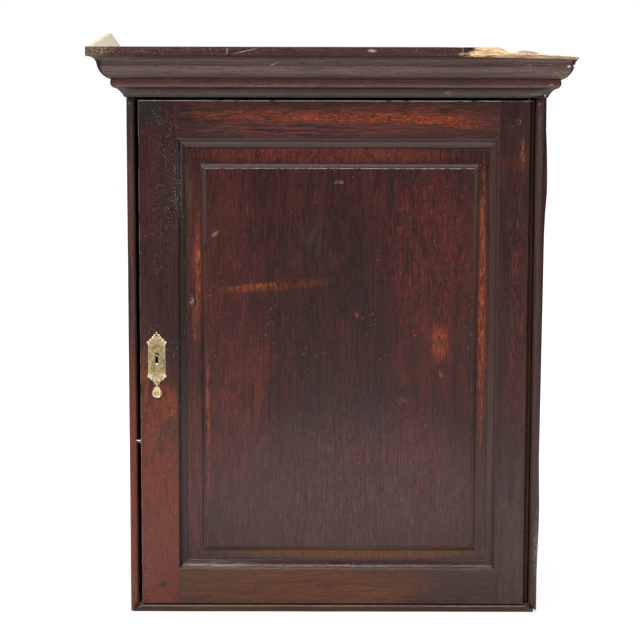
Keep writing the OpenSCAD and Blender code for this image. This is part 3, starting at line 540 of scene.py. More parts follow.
PIN_STILE_MARKS = (
    DARK_BANDS,
    Mark("#7a2c1e", 1.9, 16, 0.54, 0.64, 0.85, Place(287, 500, 14, 330)),
    Mark("#9a5f2a", 1.9, 12, 0.45, 0.56, 0.9, Place(293, 738, 4, 28)),
    Mark("#8f7440", 1.3, 2.2, 0.60, 0.65, 0.75, Place(276, 777, 14, 13), 2.0),
    Mark("#4a372e", 8, 90, 0.30, 0.60, 0.75, Place(284, 110, 40, 190)),
)
BOTTOM_RAIL_MARKS = (
    DARK_BANDS,
    Mark("#643620", 5.0, 70, 0.30, 0.58, 0.95, Place(-60, 48, 230, 50)),
    Mark("#7a4420", 4.0, 50, 0.36, 0.58, 0.8, Place(40, 30, 110, 18)),
    Mark("#6f2a24", 2.2, 24, 0.52, 0.62, 0.8, Place(10, 60, 130, 10)),
    Mark("#62371f", 30, 120, 0.10, 0.40, 0.5, Place(-60, 44, 280, 60)),
    Mark("#3f2c1f", 6.0, 90, 0.28, 0.55, 0.85, Place(225, 44, 90, 44)),
)
PANEL_MARKS_AND_REFLECTION = (
    DARK_BANDS,
    Mark("#58201c", 12, 46, 0.46, 0.68, 0.5, Place(-150, 560, 110, 220)),
    Mark("#2d1713", 20, 90, 0.20, 0.60, 0.7, Place(10, 520, 150, 170)),
    Mark("#74281f", 1.9, 11, 0.59, 0.66, 0.6, Place(-120, 480, 130, 250)),
    Mark("#63241d", 10, 40, 0.42, 0.64, 0.5, Place(150, 560, 80, 170)),
    Mark("#83291d", 2.2, 13, 0.57, 0.65, 0.8, Place(150, 590, 90, 170)),
    Mark("#6a2e1a", 6.0, 15, 0.34, 0.58, 0.6, Place(-84, 529, 96, 10, 5)),
    Mark("#9a4a1e", 1.8, 9, 0.44, 0.56, 0.8, Place(-128, 525.5, 60, 7, 5)),
    Mark("#7a3420", 5, 20, 0.30, 0.55, 0.7, Place(164, 440, 18, 38)),
    Mark("#ad481c", 1.8, 12, 0.47, 0.56, 0.9, Place(166, 436, 14, 28)),
    Mark("#a84d1a", 1.8, 4, 0.40, 0.52, 0.8, Place(35, 482, 4, 6)),
    Mark("#a0411a", 1.8, 6, 0.46, 0.56, 0.7, Place(168, 388, 5, 9)),
    Mark("#a0411c", 1.8, 5, 0.44, 0.54, 0.7, Place(108, 346, 9, 4, -30)),
    Mark("#1f1211", 8, 16, 0.30, 0.55, 0.7, Place(116, 360, 26, 12)),
    Mark("#9a3f22", 2.4, 26, 0.40, 0.56, 0.9, Place(-200, 300, 4, 130)),
    Mark("#6a2a25", 12, 40, 0.40, 0.64, 0.7, Place(-150, 310, 60, 160)),
    # This mark and the next are a painted reflection of the floor over the lower field, a grey-lilac haze, with
    # some wax bloom
    Mark("#5a3032", 14, 40, 0.46, 0.68, 0.5, Place(20, 210, 230, 150)),
    Mark("#50322e", 40, 140, 0.10, 0.45, 0.75, Place(10, 200, 290, 150)),
    Mark("#33231f", 26, 60, 0.20, 0.50, 0.6, Place(30, 335, 120, 70)),
    Mark("#7a3c48", 1.8, 12, 0.56, 0.66, 0.6, Place(90, 240, 150, 120)),
    Mark("#9a8f86", 1.6, 2.2, 0.46, 0.56, 0.8, Place(6, 692, 9, 3)),
    # More of that painted reflection haze over the lower field
    Mark("#6a5652", 1.6, 16, 0.56, 0.68, 0.4, Place(20, 190, 230, 160)),
    Mark("#a08a80", 1.6, 2.4, 0.42, 0.54, 0.8, Place(-187.6, 610.6, 8, 3.5, 35)),
    Mark("#5d4740", 3.0, 60, 0.30, 0.60, 0.6, Place(-229, 660, 5, 90)),
    Mark("#4a3b38", 8.0, 20, 0.35, 0.60, 0.5, Place(-32, 610, 26, 36)),
    Mark("#1f0f0d", 2.4, 90, 0.54, 0.63, 0.5, Place(7, 420, 250, 400)),
    Mark("#8d8078", 1.4, 1.6, 0.58, 0.64, 0.7, Place(5, 742, 300, 3)),
    Mark("#6a3022", 4, 60, 0.34, 0.58, 0.8, Place(-218, 540, 9, 150)),
    Mark("#a85a2c", 1.3, 16, 0.50, 0.58, 0.9, Place(-215, 552, 6, 84)),
    Mark("#96491f", 2.0, 9, 0.44, 0.58, 0.8, Place(-220, 466, 6, 34)),
    Mark("#5e2f2a", 8, 60, 0.30, 0.56, 0.7, Place(-222, 250, 14, 180)),
    Mark("#73321e", 5.0, 90, 0.30, 0.60, 0.65, Place(232, 480, 9, 262)),
    Mark("#b8531e", 1.6, 14, 0.51, 0.58, 0.9, Place(232, 510, 5.5, 260)),
    Mark("#b8743a", 1.6, 14, 0.60, 0.66, 0.7, Place(233, 560, 5, 150)),
    Mark("#743a22", 6.0, 9, 0.36, 0.62, 0.7, Place(90, 734, 100, 12)),
    Mark("#9b733a", 1.6, 3, 0.56, 0.63, 0.7, Place(88, 735, 40, 5)),
    Mark("#6f3024", 2.4, 9, 0.36, 0.56, 0.8, Place(-20, 734, 250, 14)),
    Mark("#6f4224", 8.0, 30, 0.22, 0.50, 0.9, Place(30, 96, 240, 12)),
    Mark("#2a2220", 5.0, 5.0, 0.10, 0.40, 0.85, Place(-225, 503.5, 6, 10)),
    Mark("#a39a92", 1.4, 1.6, 0.52, 0.58, 0.9, Place(-225, 503.5, 5, 8)),
)
# The cornice's marks: dirt, dust, scratches and raw wood, with painted highlights and painted shade on its members
CORNICE_MARKS_AND_PAINTED_LIGHT = (
    # The next two bands are painted highlight and sheen where the ovolo and the upper hollow face the top light;
    # the ovolo is also grey with some dust
    band("#795b51", 5.0, 120, 0.20, 0.55, 0.9, 868, 15),
    band("#6e5149", 4.0, 90, 0.20, 0.55, 0.9, 887, 6),
    band("#5f332c", 3.0, 60, 0.25, 0.55, 0.9, 848.5, 8),
    # A painted highlight along the torus's lower lip
    band("#7c645a", 4.0, 60, 0.20, 0.50, 0.8, 843.6, 1.4),
    band("#8a4a3a", 1.6, 14, 0.58, 0.66, 0.7, 849, 6),
    band("#56403a", 5.0, 90, 0.05, 0.35, 0.9, 834, 7),
    # These five dark lines are painted shade: a strip under the cornice's foot, and lines in the quirks between
    # its members
    band("#140d0c", 5.0, 90, 0.05, 0.15, 0.92, 826, 3),
    band("#170d0c", 5.0, 90, 0.05, 0.15, 0.95, 854.6, 1.7),
    band("#1d1110", 5.0, 90, 0.05, 0.15, 0.9, 840.3, 1.3),
    band("#2c1b18", 5.0, 90, 0.05, 0.35, 0.75, 877.2, 1.5),
    band("#2c1b18", 5.0, 90, 0.05, 0.35, 0.7, 892, 1.3),
    band("#4b2420", 6.0, 40, 0.30, 0.60, 0.8, 901, 7),
    band("#7d6a60", 1.6, 3.5, 0.58, 0.66, 0.7, 904, 4),
    Mark("#9c8c66", 2.0, 2.2, 0.48, 0.56, 0.85, Place(-366, 900, 26, 10)),
    Mark("#8f8270", 1.8, 2.4, 0.57, 0.64, 0.6, Place(-330, 901, 60, 8)),
    even_mark("#b6aca0", 0.9, Place(-165.6, 900, 0.9, 6)),
    even_mark("#b6aca0", 0.8, Place(-137, 899.8, 22, 0.8, 13)),
    even_mark("#a99b90", 0.8, Place(-94, 879, 12, 0.8, 25)),
    Mark("#c4bab0", 2.0, 3.0, 0.40, 0.52, 0.9, Place(56, 900.5, 8, 3)),
    Mark("#dcae7c", 1.5, 12, 0.46, 0.52, 1.0, Place(198, 895, 12, 3.6)),
    even_mark("#e4dcd0", 1.0, Place(358, 876.3, 3.2, 2.2)),
    Mark("#c98a72", 2, 3, 0.30, 0.45, 0.9, Place(333.6, 846.8, 4.5, 2)),
    Mark("#a07a68", 1.6, 5, 0.48, 0.60, 0.7, Place(345, 863, 14, 7)),
    Mark("#a88a86", 1.6, 3, 0.45, 0.56, 0.7, Place(295.5, 877, 7, 2.5)),
    Mark("#8a4a3c", 1.8, 8, 0.40, 0.55, 0.8, Place(336, 877, 12, 3)),
    Mark("#84786c", 1.6, 6, 0.46, 0.56, 0.75, Place(304, 831, 24, 3)),
    Mark("#94857a", 2.0, 3, 0.40, 0.50, 0.8, Place(174, 833.5, 7, 3)),
)
BEAD_MARKS = (
    Mark("#5e3528", 3.0, 90, 0.34, 0.62, 0.8),
    Mark("#2b2624", 9, 60, 0.25, 0.5, 0.8, Place(-320, 790, 14, 60)),
    Mark("#7c341f", 2.8, 60, 0.24, 0.52, 0.9, Place(-320, 200, 14, 270)),
    Mark("#6b4c30", 4.0, 60, 0.35, 0.6, 0.8, Place(-320, 20, 30, 60)),
    Mark("#3b2a27", 2.5, 60, 0.30, 0.60, 0.8, Place(319, 420, 12, 700)),
    Mark("#6a4a50", 1.8, 9, 0.48, 0.60, 0.7, Place(321, 765, 8, 80)),
    Mark("#8f847c", 1.6, 6, 0.50, 0.60, 0.8, Place(323, 100, 6, 70)),
)
LOCK_STILE_RUBS = (
    Mark("#a8a29c", 1.5, 2.4, 0.60, 0.66, 0.9, Place(-246, 690, 10, 62)),
    Mark("#8f8a86", 1.4, 2.0, 0.62, 0.68, 0.7, Place(-262, 690, 30, 140)),
)
BOTTOM_RAIL_RUBS = (
    Mark("#6f665c", 3, 30, 0.40, 0.60, 0.8, Place(-184, 78, 62, 7)),
    Mark("#26130f", 3, 12, 0.10, 0.40, 0.85, Place(70, 78, 210, 9)),
    Mark("#7a2a20", 1.6, 5, 0.56, 0.62, 0.8, Place(50, 78, 170, 7)),
)
FOOT_BEAD_MARKS = (
    Mark("#4c301a", 3.0, 90, 0.30, 0.56, 0.9, Place(-120, 6, 260, 14)),
    Mark("#47281b", 3.0, 70, 0.40, 0.6, 0.8, Place(180, 6, 220, 14)),
)


def inside_box(made: bmesh.types.BMesh, node: str) -> None:
    """Keeps a mesh's corners inside the box of its CAD node."""
    low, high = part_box(node)
    for corner in made.verts:
        corner.co = Vector([min(max(c, a), b) for c, a, b in zip(corner.co, low, high)])


def add_corner_layers(made: bmesh.types.BMesh) -> None:
    """Gives a mesh the corner attributes that the finishes read."""
    for name in (ARRIS, BARE, GRIME):
        made.loops.layers.float.new(name)


def merged_copy(node: str) -> bmesh.types.BMesh:
    """Copies a CAD node's mesh, with its loose triangles joined to plain faces."""
    made = bmesh.new()
    made.from_mesh(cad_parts[node].data)
    bmesh.ops.remove_doubles(made, verts=made.verts[:], dist=0.002 * MM)
    bmesh.ops.dissolve_limit(made, angle_limit=math.radians(0.4), use_dissolve_boundaries=False,
                             verts=made.verts[:], edges=made.edges[:])
    add_corner_layers(made)
    return made


def ease_arrises(made: bmesh.types.BMesh, width: float, shortest: float, worn: Wear) -> None:
    """Takes the sharpness off a mesh's outer edges, and marks the new faces as arrises.

    Args:
        made: The mesh.
        width: Width of the new faces, in millimetres.
        shortest: Edges shorter than this, in millimetres, stay sharp.
        worn: Says how far the finish is rubbed off an arris.
    """
    edges = [e for e in made.edges if len(e.link_faces) == 2 and e.is_convex
             and e.calc_face_angle(0) > math.radians(ARRIS_TURN) and e.calc_length() > shortest * MM]
    eased = bmesh.ops.bevel(made, geom=edges, offset=width * MM, offset_type="OFFSET", segments=2, profile=0.5,
                            affect="EDGES", clamp_overlap=True, material=-1)
    layer = made.loops.layers.float[ARRIS]
    for face in eased["faces"]:
        rubbed = worn(face.calc_center_median() / MM)
        for corner in face.loops:
            corner[layer] = rubbed


def mark_faces(made: bmesh.types.BMesh, name: str, share: Share) -> None:
    """Gives one of the corner attributes its values, where they are more than it has."""
    made.normal_update()
    layer = made.loops.layers.float[name]
    for face in made.faces:
        value = float(share(face.calc_center_median() / MM, face.normal))
        for corner in face.loops:
            corner[layer] = max(value, corner[layer])


def facing(*ways: Vector) -> Share:
    """Gives a share of 1 to faces that look one of some ways."""
    return lambda middle, normal: any(normal.dot(way) > 0.7 for way in ways)


def cut_through(made: bmesh.types.BMesh, place: Vector, way: Vector) -> None:
    """Cuts every face of a mesh where it meets a plane."""
    bmesh.ops.bisect_plane(made, geom=made.verts[:] + made.edges[:] + made.faces[:], dist=0.01 * MM,
                           plane_co=place, plane_no=way)


def waver(made: bmesh.types.BMesh, grain: Grain, amount: float, seed: float) -> None:
    """Cuts a moulding across at even places and moves them slightly, as a hand plane leaves it.

    Args:
        made: The mesh.
        grain: The way that the moulding runs.
        amount: How far a corner may move, in millimetres.
        seed: Chooses another wavering.
    """
    axis = grain.value
    along = Vector([float(i == axis) for i in range(3)])
    low = min(v.co[axis] for v in made.verts)
    high = max(v.co[axis] for v in made.verts)
    count = int((high - low) / (PLANE_STEP * MM))
    for i in range(1, count):
        cut_through(made, along * (low + (high - low) * i / count), along)
    for corner in made.verts:
        spot = corner.co / (PLANE_WAVE * MM) + Vector((seed, seed, seed))
        shift = noise.noise_vector(spot) * amount * MM
        shift[axis] = 0
        corner.co += shift


def place_piece(name: str, made: bmesh.types.BMesh, material: bpy.types.Material, body: str,
                replaced: Iterable[str] = (), smooth: float = 32.0) -> bpy.types.Object:
    """Makes a finished object of a mesh, and lets it ride on its body.

    Args:
        name: The piece's name.
        made: Its mesh, in the frame.
        material: Its finish.
        body: The CAD body that it rides on.
        replaced: The CAD nodes that it stands for.
        smooth: Edges that turn by more than this, in degrees, are shown sharp.

    Returns:
        The new object.
    """
    mesh = bpy.data.meshes.new(name)
    made.to_mesh(mesh)
    made.free()
    for face in mesh.polygons:
        face.use_smooth = True
    mesh.set_sharp_from_angle(angle=math.radians(smooth))
    mesh.materials.append(material)
    piece = bpy.data.objects.new(name, mesh)
    bpy.context.scene.collection.objects.link(piece)
    even = piece.modifiers.new("Even shading", "WEIGHTED_NORMAL")
    even.keep_sharp = True
    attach(piece, body)
    for node in replaced:
        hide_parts(node)
    LOG.info("%s: %d faces on %s", name, len(mesh.polygons), body)
    return piece


@dataclass(frozen=True)
class Board:
    """How one wooden CAD node is dressed.

    arris is the width of its eased arrises in millimetres, shortest the length below which they stay sharp,
    and worn says how far they are rubbed. bare and grimy say which faces never had stain and which hold dirt.
    dusty says which faces are painted pale: with dust, and along the door's top with a painted highlight. cut
    is a height where its faces are cut through, so that this pale coat can end there. wavering is the way that
    its moulding runs, where the plane's wavering shows, and amount how far that goes.
    """

    node: str
    body: str
    slot: str
    arris: float = 0.8
    shortest: float = 8.0
    worn: Wear = lambda spot: 0.25
    bare: Share | None = None
    grimy: Share | None = None
    pale_coat: Share | None = None
    cut: float | None = None
    wavering: Grain | None = None
    amount: float = 0.25

    def dress(self, material: bpy.types.Material) -> bpy.types.Object:
        """Stands a worn copy of the node in its place.

        Args:
            material: The board's finish.

        Returns:
            The new object.
        """
        made = merged_copy(self.node)
        ease_arrises(made, self.arris, self.shortest, self.worn)
        if self.wavering is not None:
            waver(made, self.wavering, self.amount, len(self.node))
            inside_box(made, self.node)
        if self.cut is not None:
            cut_through(made, UP * self.cut * MM, UP)
        for name, share in ((BARE, self.bare), (GRIME, self.grimy), (ARRIS, self.pale_coat)):
            if share is not None:
                mark_faces(made, name, share)
        return place_piece(f"{self.node}_oak", made, material, self.body, [self.node], smooth=50)


def dress_metal(node: str, material: bpy.types.Material, body: str, edge: float,
                worn: Wear = lambda spot: 0.8, grimy: Share | None = None) -> None:
    """Stands an eased copy of a metal CAD node in its place.

    Args:
        node: The node.
        material: Its finish.
        body: The body that it rides on.
        edge: Width of its eased edges, in millimetres.
        worn: Says how bright an edge is rubbed.
        grimy: Says which faces hold dirt.
    """
    made = merged_copy(node)
    ease_arrises(made, width=edge, shortest=0.2, worn=worn)
    if grimy is not None:
        mark_faces(made, GRIME, grimy)
    place_piece(f"{node}_metal", made, material, body, [node], smooth=40)


@dataclass
class Carcass:
    """The sides, top, bottom, back, shelves and beads. Lengths are in millimetres."""

    body: str = "carcass"
    arris: float = 1.0
    bead_arris: float = 0.6
    sides: dict[str, Vector] = field(default_factory=lambda: {"left_side": RIGHT, "right_side": LEFT})
    backs: tuple[str, ...] = ("#79634b", "#6c5843", "#7e684d", "#6f5a44")
    sliver_at: tuple[float, float, float] = (-310.4, -144.8, 279.7)
    sliver_l: float = 6.4
    sliver_r: tuple[float, float] = (1.2, 1.0)

    def dress_sides(self) -> None:
        """Dresses the two sides: stained outside, bare within and behind."""
        material = StainedOak("stained_oak_sides", Grain.Z, "#3f2420", "#281613", marks=(DARK_BANDS, RED_FLECKS),
                              turn=2.0).make()
        for node, inward in self.sides.items():
            Board(node, self.body, "carcass_oak", self.arris, bare=facing(inward, BACK)).dress(material)

    def dress_inner_boards(self) -> None:
        """Dresses the bottom, shelves, bearers and hanging rail, which were never stained, and the top."""
        level = DryWood("old_oak_level", Grain.X, "#7a6046", "#4c3b2d", turn=5.0).make()
        deep = DryWood("old_oak_bearers", Grain.Y, "#78603f", "#4a3a2b", turn=9.0).make()
        top = StainedOak("stained_oak_top", Grain.X, "#3a221d", "#261412", bare="#6f5842", turn=11.0).make()
        for node in ("bottom_board", "upper_shelf", "lower_shelf", "hanging_rail"):
            Board(node, self.body, "inner_oak", 0.7).dress(level)
        Board("top_board", self.body, "inner_oak", 0.7, bare=facing(UP, -UP, BACK)).dress(top)
        for height in ("upper", "lower"):
            for side in ("left", "right"):
                Board(f"{height}_{side}_bearer", self.body, "inner_oak", 0.6).dress(deep)

    def dress_back(self) -> None:
        """Dresses the back boards, each with its own grain."""
        for i, ground in enumerate(self.backs, start=1):
            finish = DryWood(f"old_oak_back_{i}", Grain.Z, ground, "#453729", turn=13.0 * i)
            Board(f"back_board_{i}", self.body, "inner_oak", 0.5).dress(finish.make())

    def dress_beads(self) -> None:
        """Dresses the half-round bead round the front."""
        upright = StainedOak("stained_oak_beads", Grain.Z, "#44281f", "#2b1a16", marks=BEAD_MARKS,
                             roughness=0.42, arris="#6b4a3c", streak=0.6, turn=21.0).make()
        level = StainedOak("stained_oak_foot_bead", Grain.X, "#3d2319", "#281812", marks=FOOT_BEAD_MARKS,
                           streak=0.6, turn=23.0).make()
        for node, material, grain in (("left_bead", upright, Grain.Z), ("right_bead", upright, Grain.Z),
                                      ("bottom_bead", level, Grain.X)):
            Board(node, self.body, "carcass_oak", self.bead_arris, wavering=grain).dress(material)

    def build_sliver(self) -> None:
        """Builds the pale sliver that shows in the gap beside the door, over the pin that stops it."""
        made = bmesh.new()
        spot = Matrix.Translation(Vector(self.sliver_at) * MM) @ Matrix.Rotation(math.pi / 2, 4, "Y")
        thick, thin = self.sliver_r
        bmesh.ops.create_cone(made, cap_ends=True, segments=8, radius1=thick * MM, radius2=thin * MM,
                              depth=self.sliver_l * MM, matrix=spot)
        pale = DryWood("pale_sliver", Grain.X, "#f4f0e8", "#e4ded2", "#c9c0b0").make()
        place_piece("gap_sliver", made, pale, self.body)

    def build(self) -> None:
        """Dresses the whole carcass."""
        self.dress_sides()
        self.dress_inner_boards()
        self.dress_back()
        self.dress_beads()
        self.build_sliver()


@dataclass
class Cornice:
    """The cornice, its broken right end, and its glue blocks. Lengths are in millimetres.

    The torn face starts at break_x. The fillet's top is gone from gone_x, and end_x is the tip. Raw wood
    shows down to raw_below under the crown.

    The torn face's upper edge rises by start_drop over start_run, along a curve of the power start_curve. It
    steps down by gone_drop over gone_run, from gone_lead before gone_x, and then falls by tip_fall for each
    millimetre. Its lower edge lies foot_drop under the crown at foot_from, and falls by foot_fall for each
    millimetre. At the left it is foot_lift higher, which ends after foot_run. The teeth between the fibres
    are tooth_d deep and tooth_w wide, and end after teeth_run.

    The hollow under the break starts hollow_below under the crown, where it stands out by hollow_out. Over a
    height of hollow_rise it runs out by hollow_reach. The tear stands out over it by tear_out, and by
    tear_lean more for each millimetre of height. From lip_from, the lip is moved back to lip_gap behind it.
    The torn face lies set_in behind the fillet after lead_run, and twice as far after far_run more.
    face_share, top_share and back_share part its section into the face, the top and the side inside.
    """

    body: str = "carcass"
    front_y: float = -149.5
    half_w: float = 325.0
    projection: float = 57.5
    crown: float = 906.0
    top_edge: float = 7.0
    rubbed_z: float = 900.0
    slope: float = 0.702
    break_x: float = 195.0
    gone_x: float = 260.0
    end_x: float = 373.0
    start_drop: float = 10.5
    start_run: float = 16.0
    start_curve: float = 1.8
    gone_lead: float = 8.0
    gone_drop: float = 7.7
    gone_run: float = 12.0
    tip_fall: float = 0.067
    foot_drop: float = 14.8
    foot_lift: float = 4.3
    foot_run: float = 13.0
    foot_fall: float = 0.024
    foot_from: float = 207.0
    tooth_d: float = 1.6
    tooth_w: float = 7.0
    teeth_run: float = 32.0
    hollow_below: float = 24.5
    hollow_out: float = 42.1
    hollow_reach: float = 13.4
    hollow_rise: float = 9.8
    tear_out: float = 0.6
    tear_lean: float = 1.05
    set_in: float = 3.5
    lead_run: float = 18.0
    far_run: float = 170.0
    lip_from: float = 14.0
    lip_gap: float = 0.6
    raw_below: float = 19.0
    face_share: float = 0.55
    top_share: float = 0.25
    back_share: float = 0.2
    fibre_rows: int = 24
    fibre_columns: int = 180
    splinters: int = 60
    flake_t: float = 3.2
    splinter_t: float = 2.4
    splinter_in: float = 17.0

    def is_front_bare(self, middle: Vector, normal: Vector) -> bool:
        """Says whether a face of the front cornice is raw wood: its sloping back, or the break."""
        if normal.y > 0.7:
            return True
        broken = middle.x > self.break_x - 1 and middle.z > self.crown - self.raw_below
        behind_front = middle.y > self.front_y - self.projection + 0.3
        return broken and behind_front and (normal.y < -0.9 or normal.z > 0.6)

    def wear(self, spot: Vector) -> float:
        """Says how far an arris of the cornice is rubbed: most along the crown."""
        return 0.8 if spot.z > self.rubbed_z else 0.2

    def moulding_oak(self, name: str, grain: Grain, bare: str, aged: float, turn: float,
                     streak: float = 1.0) -> StainedOak:
        """Gives the finish of one of the cornice's mouldings.

        Args:
            name: The finish's name.
            grain: The way that the grain runs.
            bare: The colour of its raw wood.
            aged: How much the raw wood has darkened.
            turn: Moves its patterns.
            streak: How strong its fibres are.

        Returns:
            The finish.
        """
        return StainedOak(name, grain, "#4a322c", "#32201c", marks=CORNICE_MARKS_AND_PAINTED_LIGHT, arris="#85766b", bare=bare,
                          aged=aged, specks=0.5, cloud_size=(4, 40), roughness=0.34, streak=streak, turn=turn)

    def dress_mouldings(self) -> None:
        """Dresses the front and the left return."""
        front = self.moulding_oak("stained_oak_cornice", Grain.X, "#e2bd8c", 0.15, 31.0)
        side = self.moulding_oak("stained_oak_return", Grain.Y, "#c3bba6", 0.06, 37.0, 0.5)
        broken = Board("cornice_front", self.body, "cornice_oak", 0.7, wavering=Grain.X, amount=0.3,
                       worn=self.wear, bare=self.is_front_bare).dress(front.make())
        # The lip over the hollow went with the break
        for corner in broken.data.vertices:
            x, _, z = corner.co / MM
            if x > self.break_x + self.lip_from and z > self.foot_at(x):
                corner.co.y = max(corner.co.y, (self.front_y - self.torn_front(x, z) + self.lip_gap) * MM)
        Board("cornice_left_return", self.body, "cornice_oak", 0.7, worn=self.wear, bare=facing(RIGHT, UP),
              wavering=Grain.Y, amount=0.3).dress(side.make())

    def dress_blocks(self) -> None:
        """Dresses the pine glue blocks."""
        pine = DryWood("pine_blocks", Grain.X, "#c7ac7e", "#8d7350", "#7a5a36", turn=41.0).make()
        for node in ("front_glue_blocks", "left_glue_blocks"):
            Board(node, self.body, "pine", 0.6).dress(pine)

    def top_at(self, x: float) -> float:
        """Gives the height of the torn face's upper edge at a place along X."""
        if x < self.gone_x - self.gone_lead:
            risen = min(max(x - self.break_x, 0) / self.start_run, 1) ** self.start_curve
            return self.crown - self.start_drop * (1 - risen) - self.tooth(x)
        stepped = min((x - self.gone_x + self.gone_lead) / self.gone_run, 1)
        past_step = max(x - self.gone_x - (self.gone_run - self.gone_lead), 0)
        return self.crown - self.gone_drop * stepped - self.tip_fall * past_step

    def foot_at(self, x: float) -> float:
        """Gives the height of the torn face's lower edge at a place along X."""
        lift = self.foot_lift * max(0, 1 - (x - self.break_x) / self.foot_run)
        return self.crown - self.foot_drop + lift - self.foot_fall * (x - self.foot_from) + self.tooth(x)

    def tooth(self, x: float) -> float:
        """Gives the depth of the notches between the fibres' ends near the left of the break."""
        return self.tooth_d * (x / self.tooth_w % 1) * max(0, 1 - (x - self.break_x) / self.teeth_run)

    def torn_front(self, x: float, z: float) -> float:
        """Gives how far the lower part of the tear stands out, where it runs out over the hollow."""
        foot = self.foot_at(x)
        rise = min(max((foot - self.crown + self.hollow_below) / self.hollow_rise, 0), 1)
        hollow = self.hollow_out + self.hollow_reach * (1 - math.sqrt(1 - rise ** 2))
        return hollow + self.tear_out + self.tear_lean * (z - foot)

    def depth_at(self, x: float) -> float:
        """Gives how far the broken face lies behind the front of the fillet."""
        if x < self.break_x + self.lead_run:
            return self.set_in * max(x - self.break_x, 0) / self.lead_run
        return self.set_in + self.set_in * (x - self.break_x - self.lead_run) / self.far_run

    def torn_point(self, u: float, v: float) -> Vector:
        """Gives a point of the torn skin, whose section is a closed loop round the broken edge.

        Args:
            u: From 0 at the left end to 1 at the tip.
            v: From 0 at the lower edge, up the torn face, over the top and down inside the solid, to 1.

        Returns:
            The point, in the frame.
        """
        x = self.break_x + 0.5 + (self.half_w + self.projection - self.break_x - 2.5) * u
        top = self.top_at(x)
        foot = self.foot_at(x)
        depth = self.depth_at(x)
        fibre = noise.noise(Vector((x / 30, v * 7, 3.1))) + 0.5 * noise.noise(Vector((x / 9, v * 15, 8.3)))
        face_p = self.projection - depth + min(0.5 + fibre * 0.9, depth - 0.1)
        back_p = min(self.projection - self.top_edge - (self.crown - top) * self.slope + 0.5, face_p - 1)
        top_end = self.face_share + self.top_share
        if v < self.face_share:
            t = v / self.face_share
            z = foot + (top - foot) * t + 0.7 * noise.noise(Vector((x / 6, t * 3, 5.0))) * t
            p = min(face_p, self.torn_front(x, z) + 0.3 * fibre)
        elif v < top_end:
            t = (v - self.face_share) / self.top_share
            p = face_p + (back_p - face_p) * t
            z = top + 0.5 * fibre - (0.6 if x < self.gone_x - self.gone_lead else 0.0)
        else:
            t = (v - top_end) / self.back_share
            p = back_p + (self.torn_front(x, foot) - 2 - back_p) * t
            z = top - 1 + (foot - top + 1) * t
        x = min(x, self.half_w + p - 0.3, self.end_x)
        return Vector((x, self.front_y - p, min(z, self.crown - 0.05))) * MM

    def build_torn_face(self, material: bpy.types.Material) -> None:
        """Builds the fibres of the broken end over the cut in the solid."""
        made = bmesh.new()
        bmesh.ops.create_grid(made, x_segments=self.fibre_columns, y_segments=self.fibre_rows, size=0.5)
        for corner in made.verts:
            corner.co = self.torn_point(corner.co.x + 0.5, corner.co.y + 0.5)
        bmesh.ops.holes_fill(made, edges=[e for e in made.edges if e.is_boundary], sides=0)
        bmesh.ops.recalc_face_normals(made, faces=made.faces[:])
        place_piece("cornice_torn_face", made, material, self.body, smooth=40)

    def build_flake(self, name: str, outline: list[tuple[float, float]], front: float, depth: float,
                    material: bpy.types.Material) -> None:
        """Builds a flake of the old surface beside the break.

        Args:
            name: The flake's name.
            outline: Its outline as places along X and heights.
            front: Where its front lies, as a place along Y.
            depth: Its depth.
            material: Its finish.
        """
        made = bmesh.new()
        add_corner_layers(made)
        face = made.faces.new([made.verts.new(Vector((x, front, z)) * MM) for x, z in outline])
        pushed = bmesh.ops.extrude_face_region(made, geom=[face])
        moved = [v for v in pushed["geom"] if isinstance(v, bmesh.types.BMVert)]
        bmesh.ops.translate(made, verts=moved, vec=Vector((0, depth * MM, 0)))
        bmesh.ops.recalc_face_normals(made, faces=made.faces[:])
        place_piece(name, made, material, self.body)

    def build_splinters(self, material: bpy.types.Material) -> None:
        """Builds the long slivers that stand off the torn face."""
        chance = random.Random(SEED)
        made = bmesh.new()
        for _ in range(self.splinters):
            spot = self.torn_point(chance.uniform(0.06, 0.9), chance.uniform(0.12, 0.52))
            radius = chance.uniform(0.25, 0.55)
            turn = Matrix.Rotation(math.radians(chance.choice((-90, 90)) + chance.uniform(-3, 3)), 4, "Y")
            bmesh.ops.create_cone(made, cap_ends=True, segments=5, radius1=radius * MM, radius2=0.05 * MM,
                                  depth=chance.uniform(8, 26) * MM, matrix=Matrix.Translation(spot) @ turn)
        place_piece("cornice_splinters", made, material, self.body, smooth=40)

    def build(self) -> None:
        """Dresses the whole cornice."""
        self.dress_mouldings()
        self.dress_blocks()
        torn = TornOak("torn_oak", Grain.X).make()
        self.build_torn_face(torn)
        self.build_splinters(torn)
        skin = StainedOak("stained_oak_flake", Grain.X, "#3a1a18", "#2a1513", turn=43.0).make()
        pale_coat = StainedOak("stained_oak_splinter", Grain.X, "#b9b0aa", "#968c86", clouding=0.1, turn=45.0).make()
        front = self.front_y - self.projection
        self.build_flake("cornice_flake", [
            (194.5, 905.9), (194.5, 896.6), (199, 897.6), (203.5, 898.2), (201, 899.6), (208, 900.8),
            (212.5, 902.6), (208.5, 903.8), (213, 905.9)], front + 0.05, self.flake_t, skin)
        self.build_flake("cornice_low_flake", [
            (194.4, 896.4), (199.5, 895.2), (197, 894.6), (205, 894.2), (201.5, 893.5), (208, 893.05),
            (194.4, 893.05)], front + 0.05, self.flake_t, skin)
        self.build_flake("cornice_splinter", [
            (279, 897.5), (283, 899.6), (291, 900.2), (300, 899), (308, 898.2), (314, 894.6), (300, 893.4),
            (283, 894)], front + self.splinter_in, self.splinter_t, pale_coat)


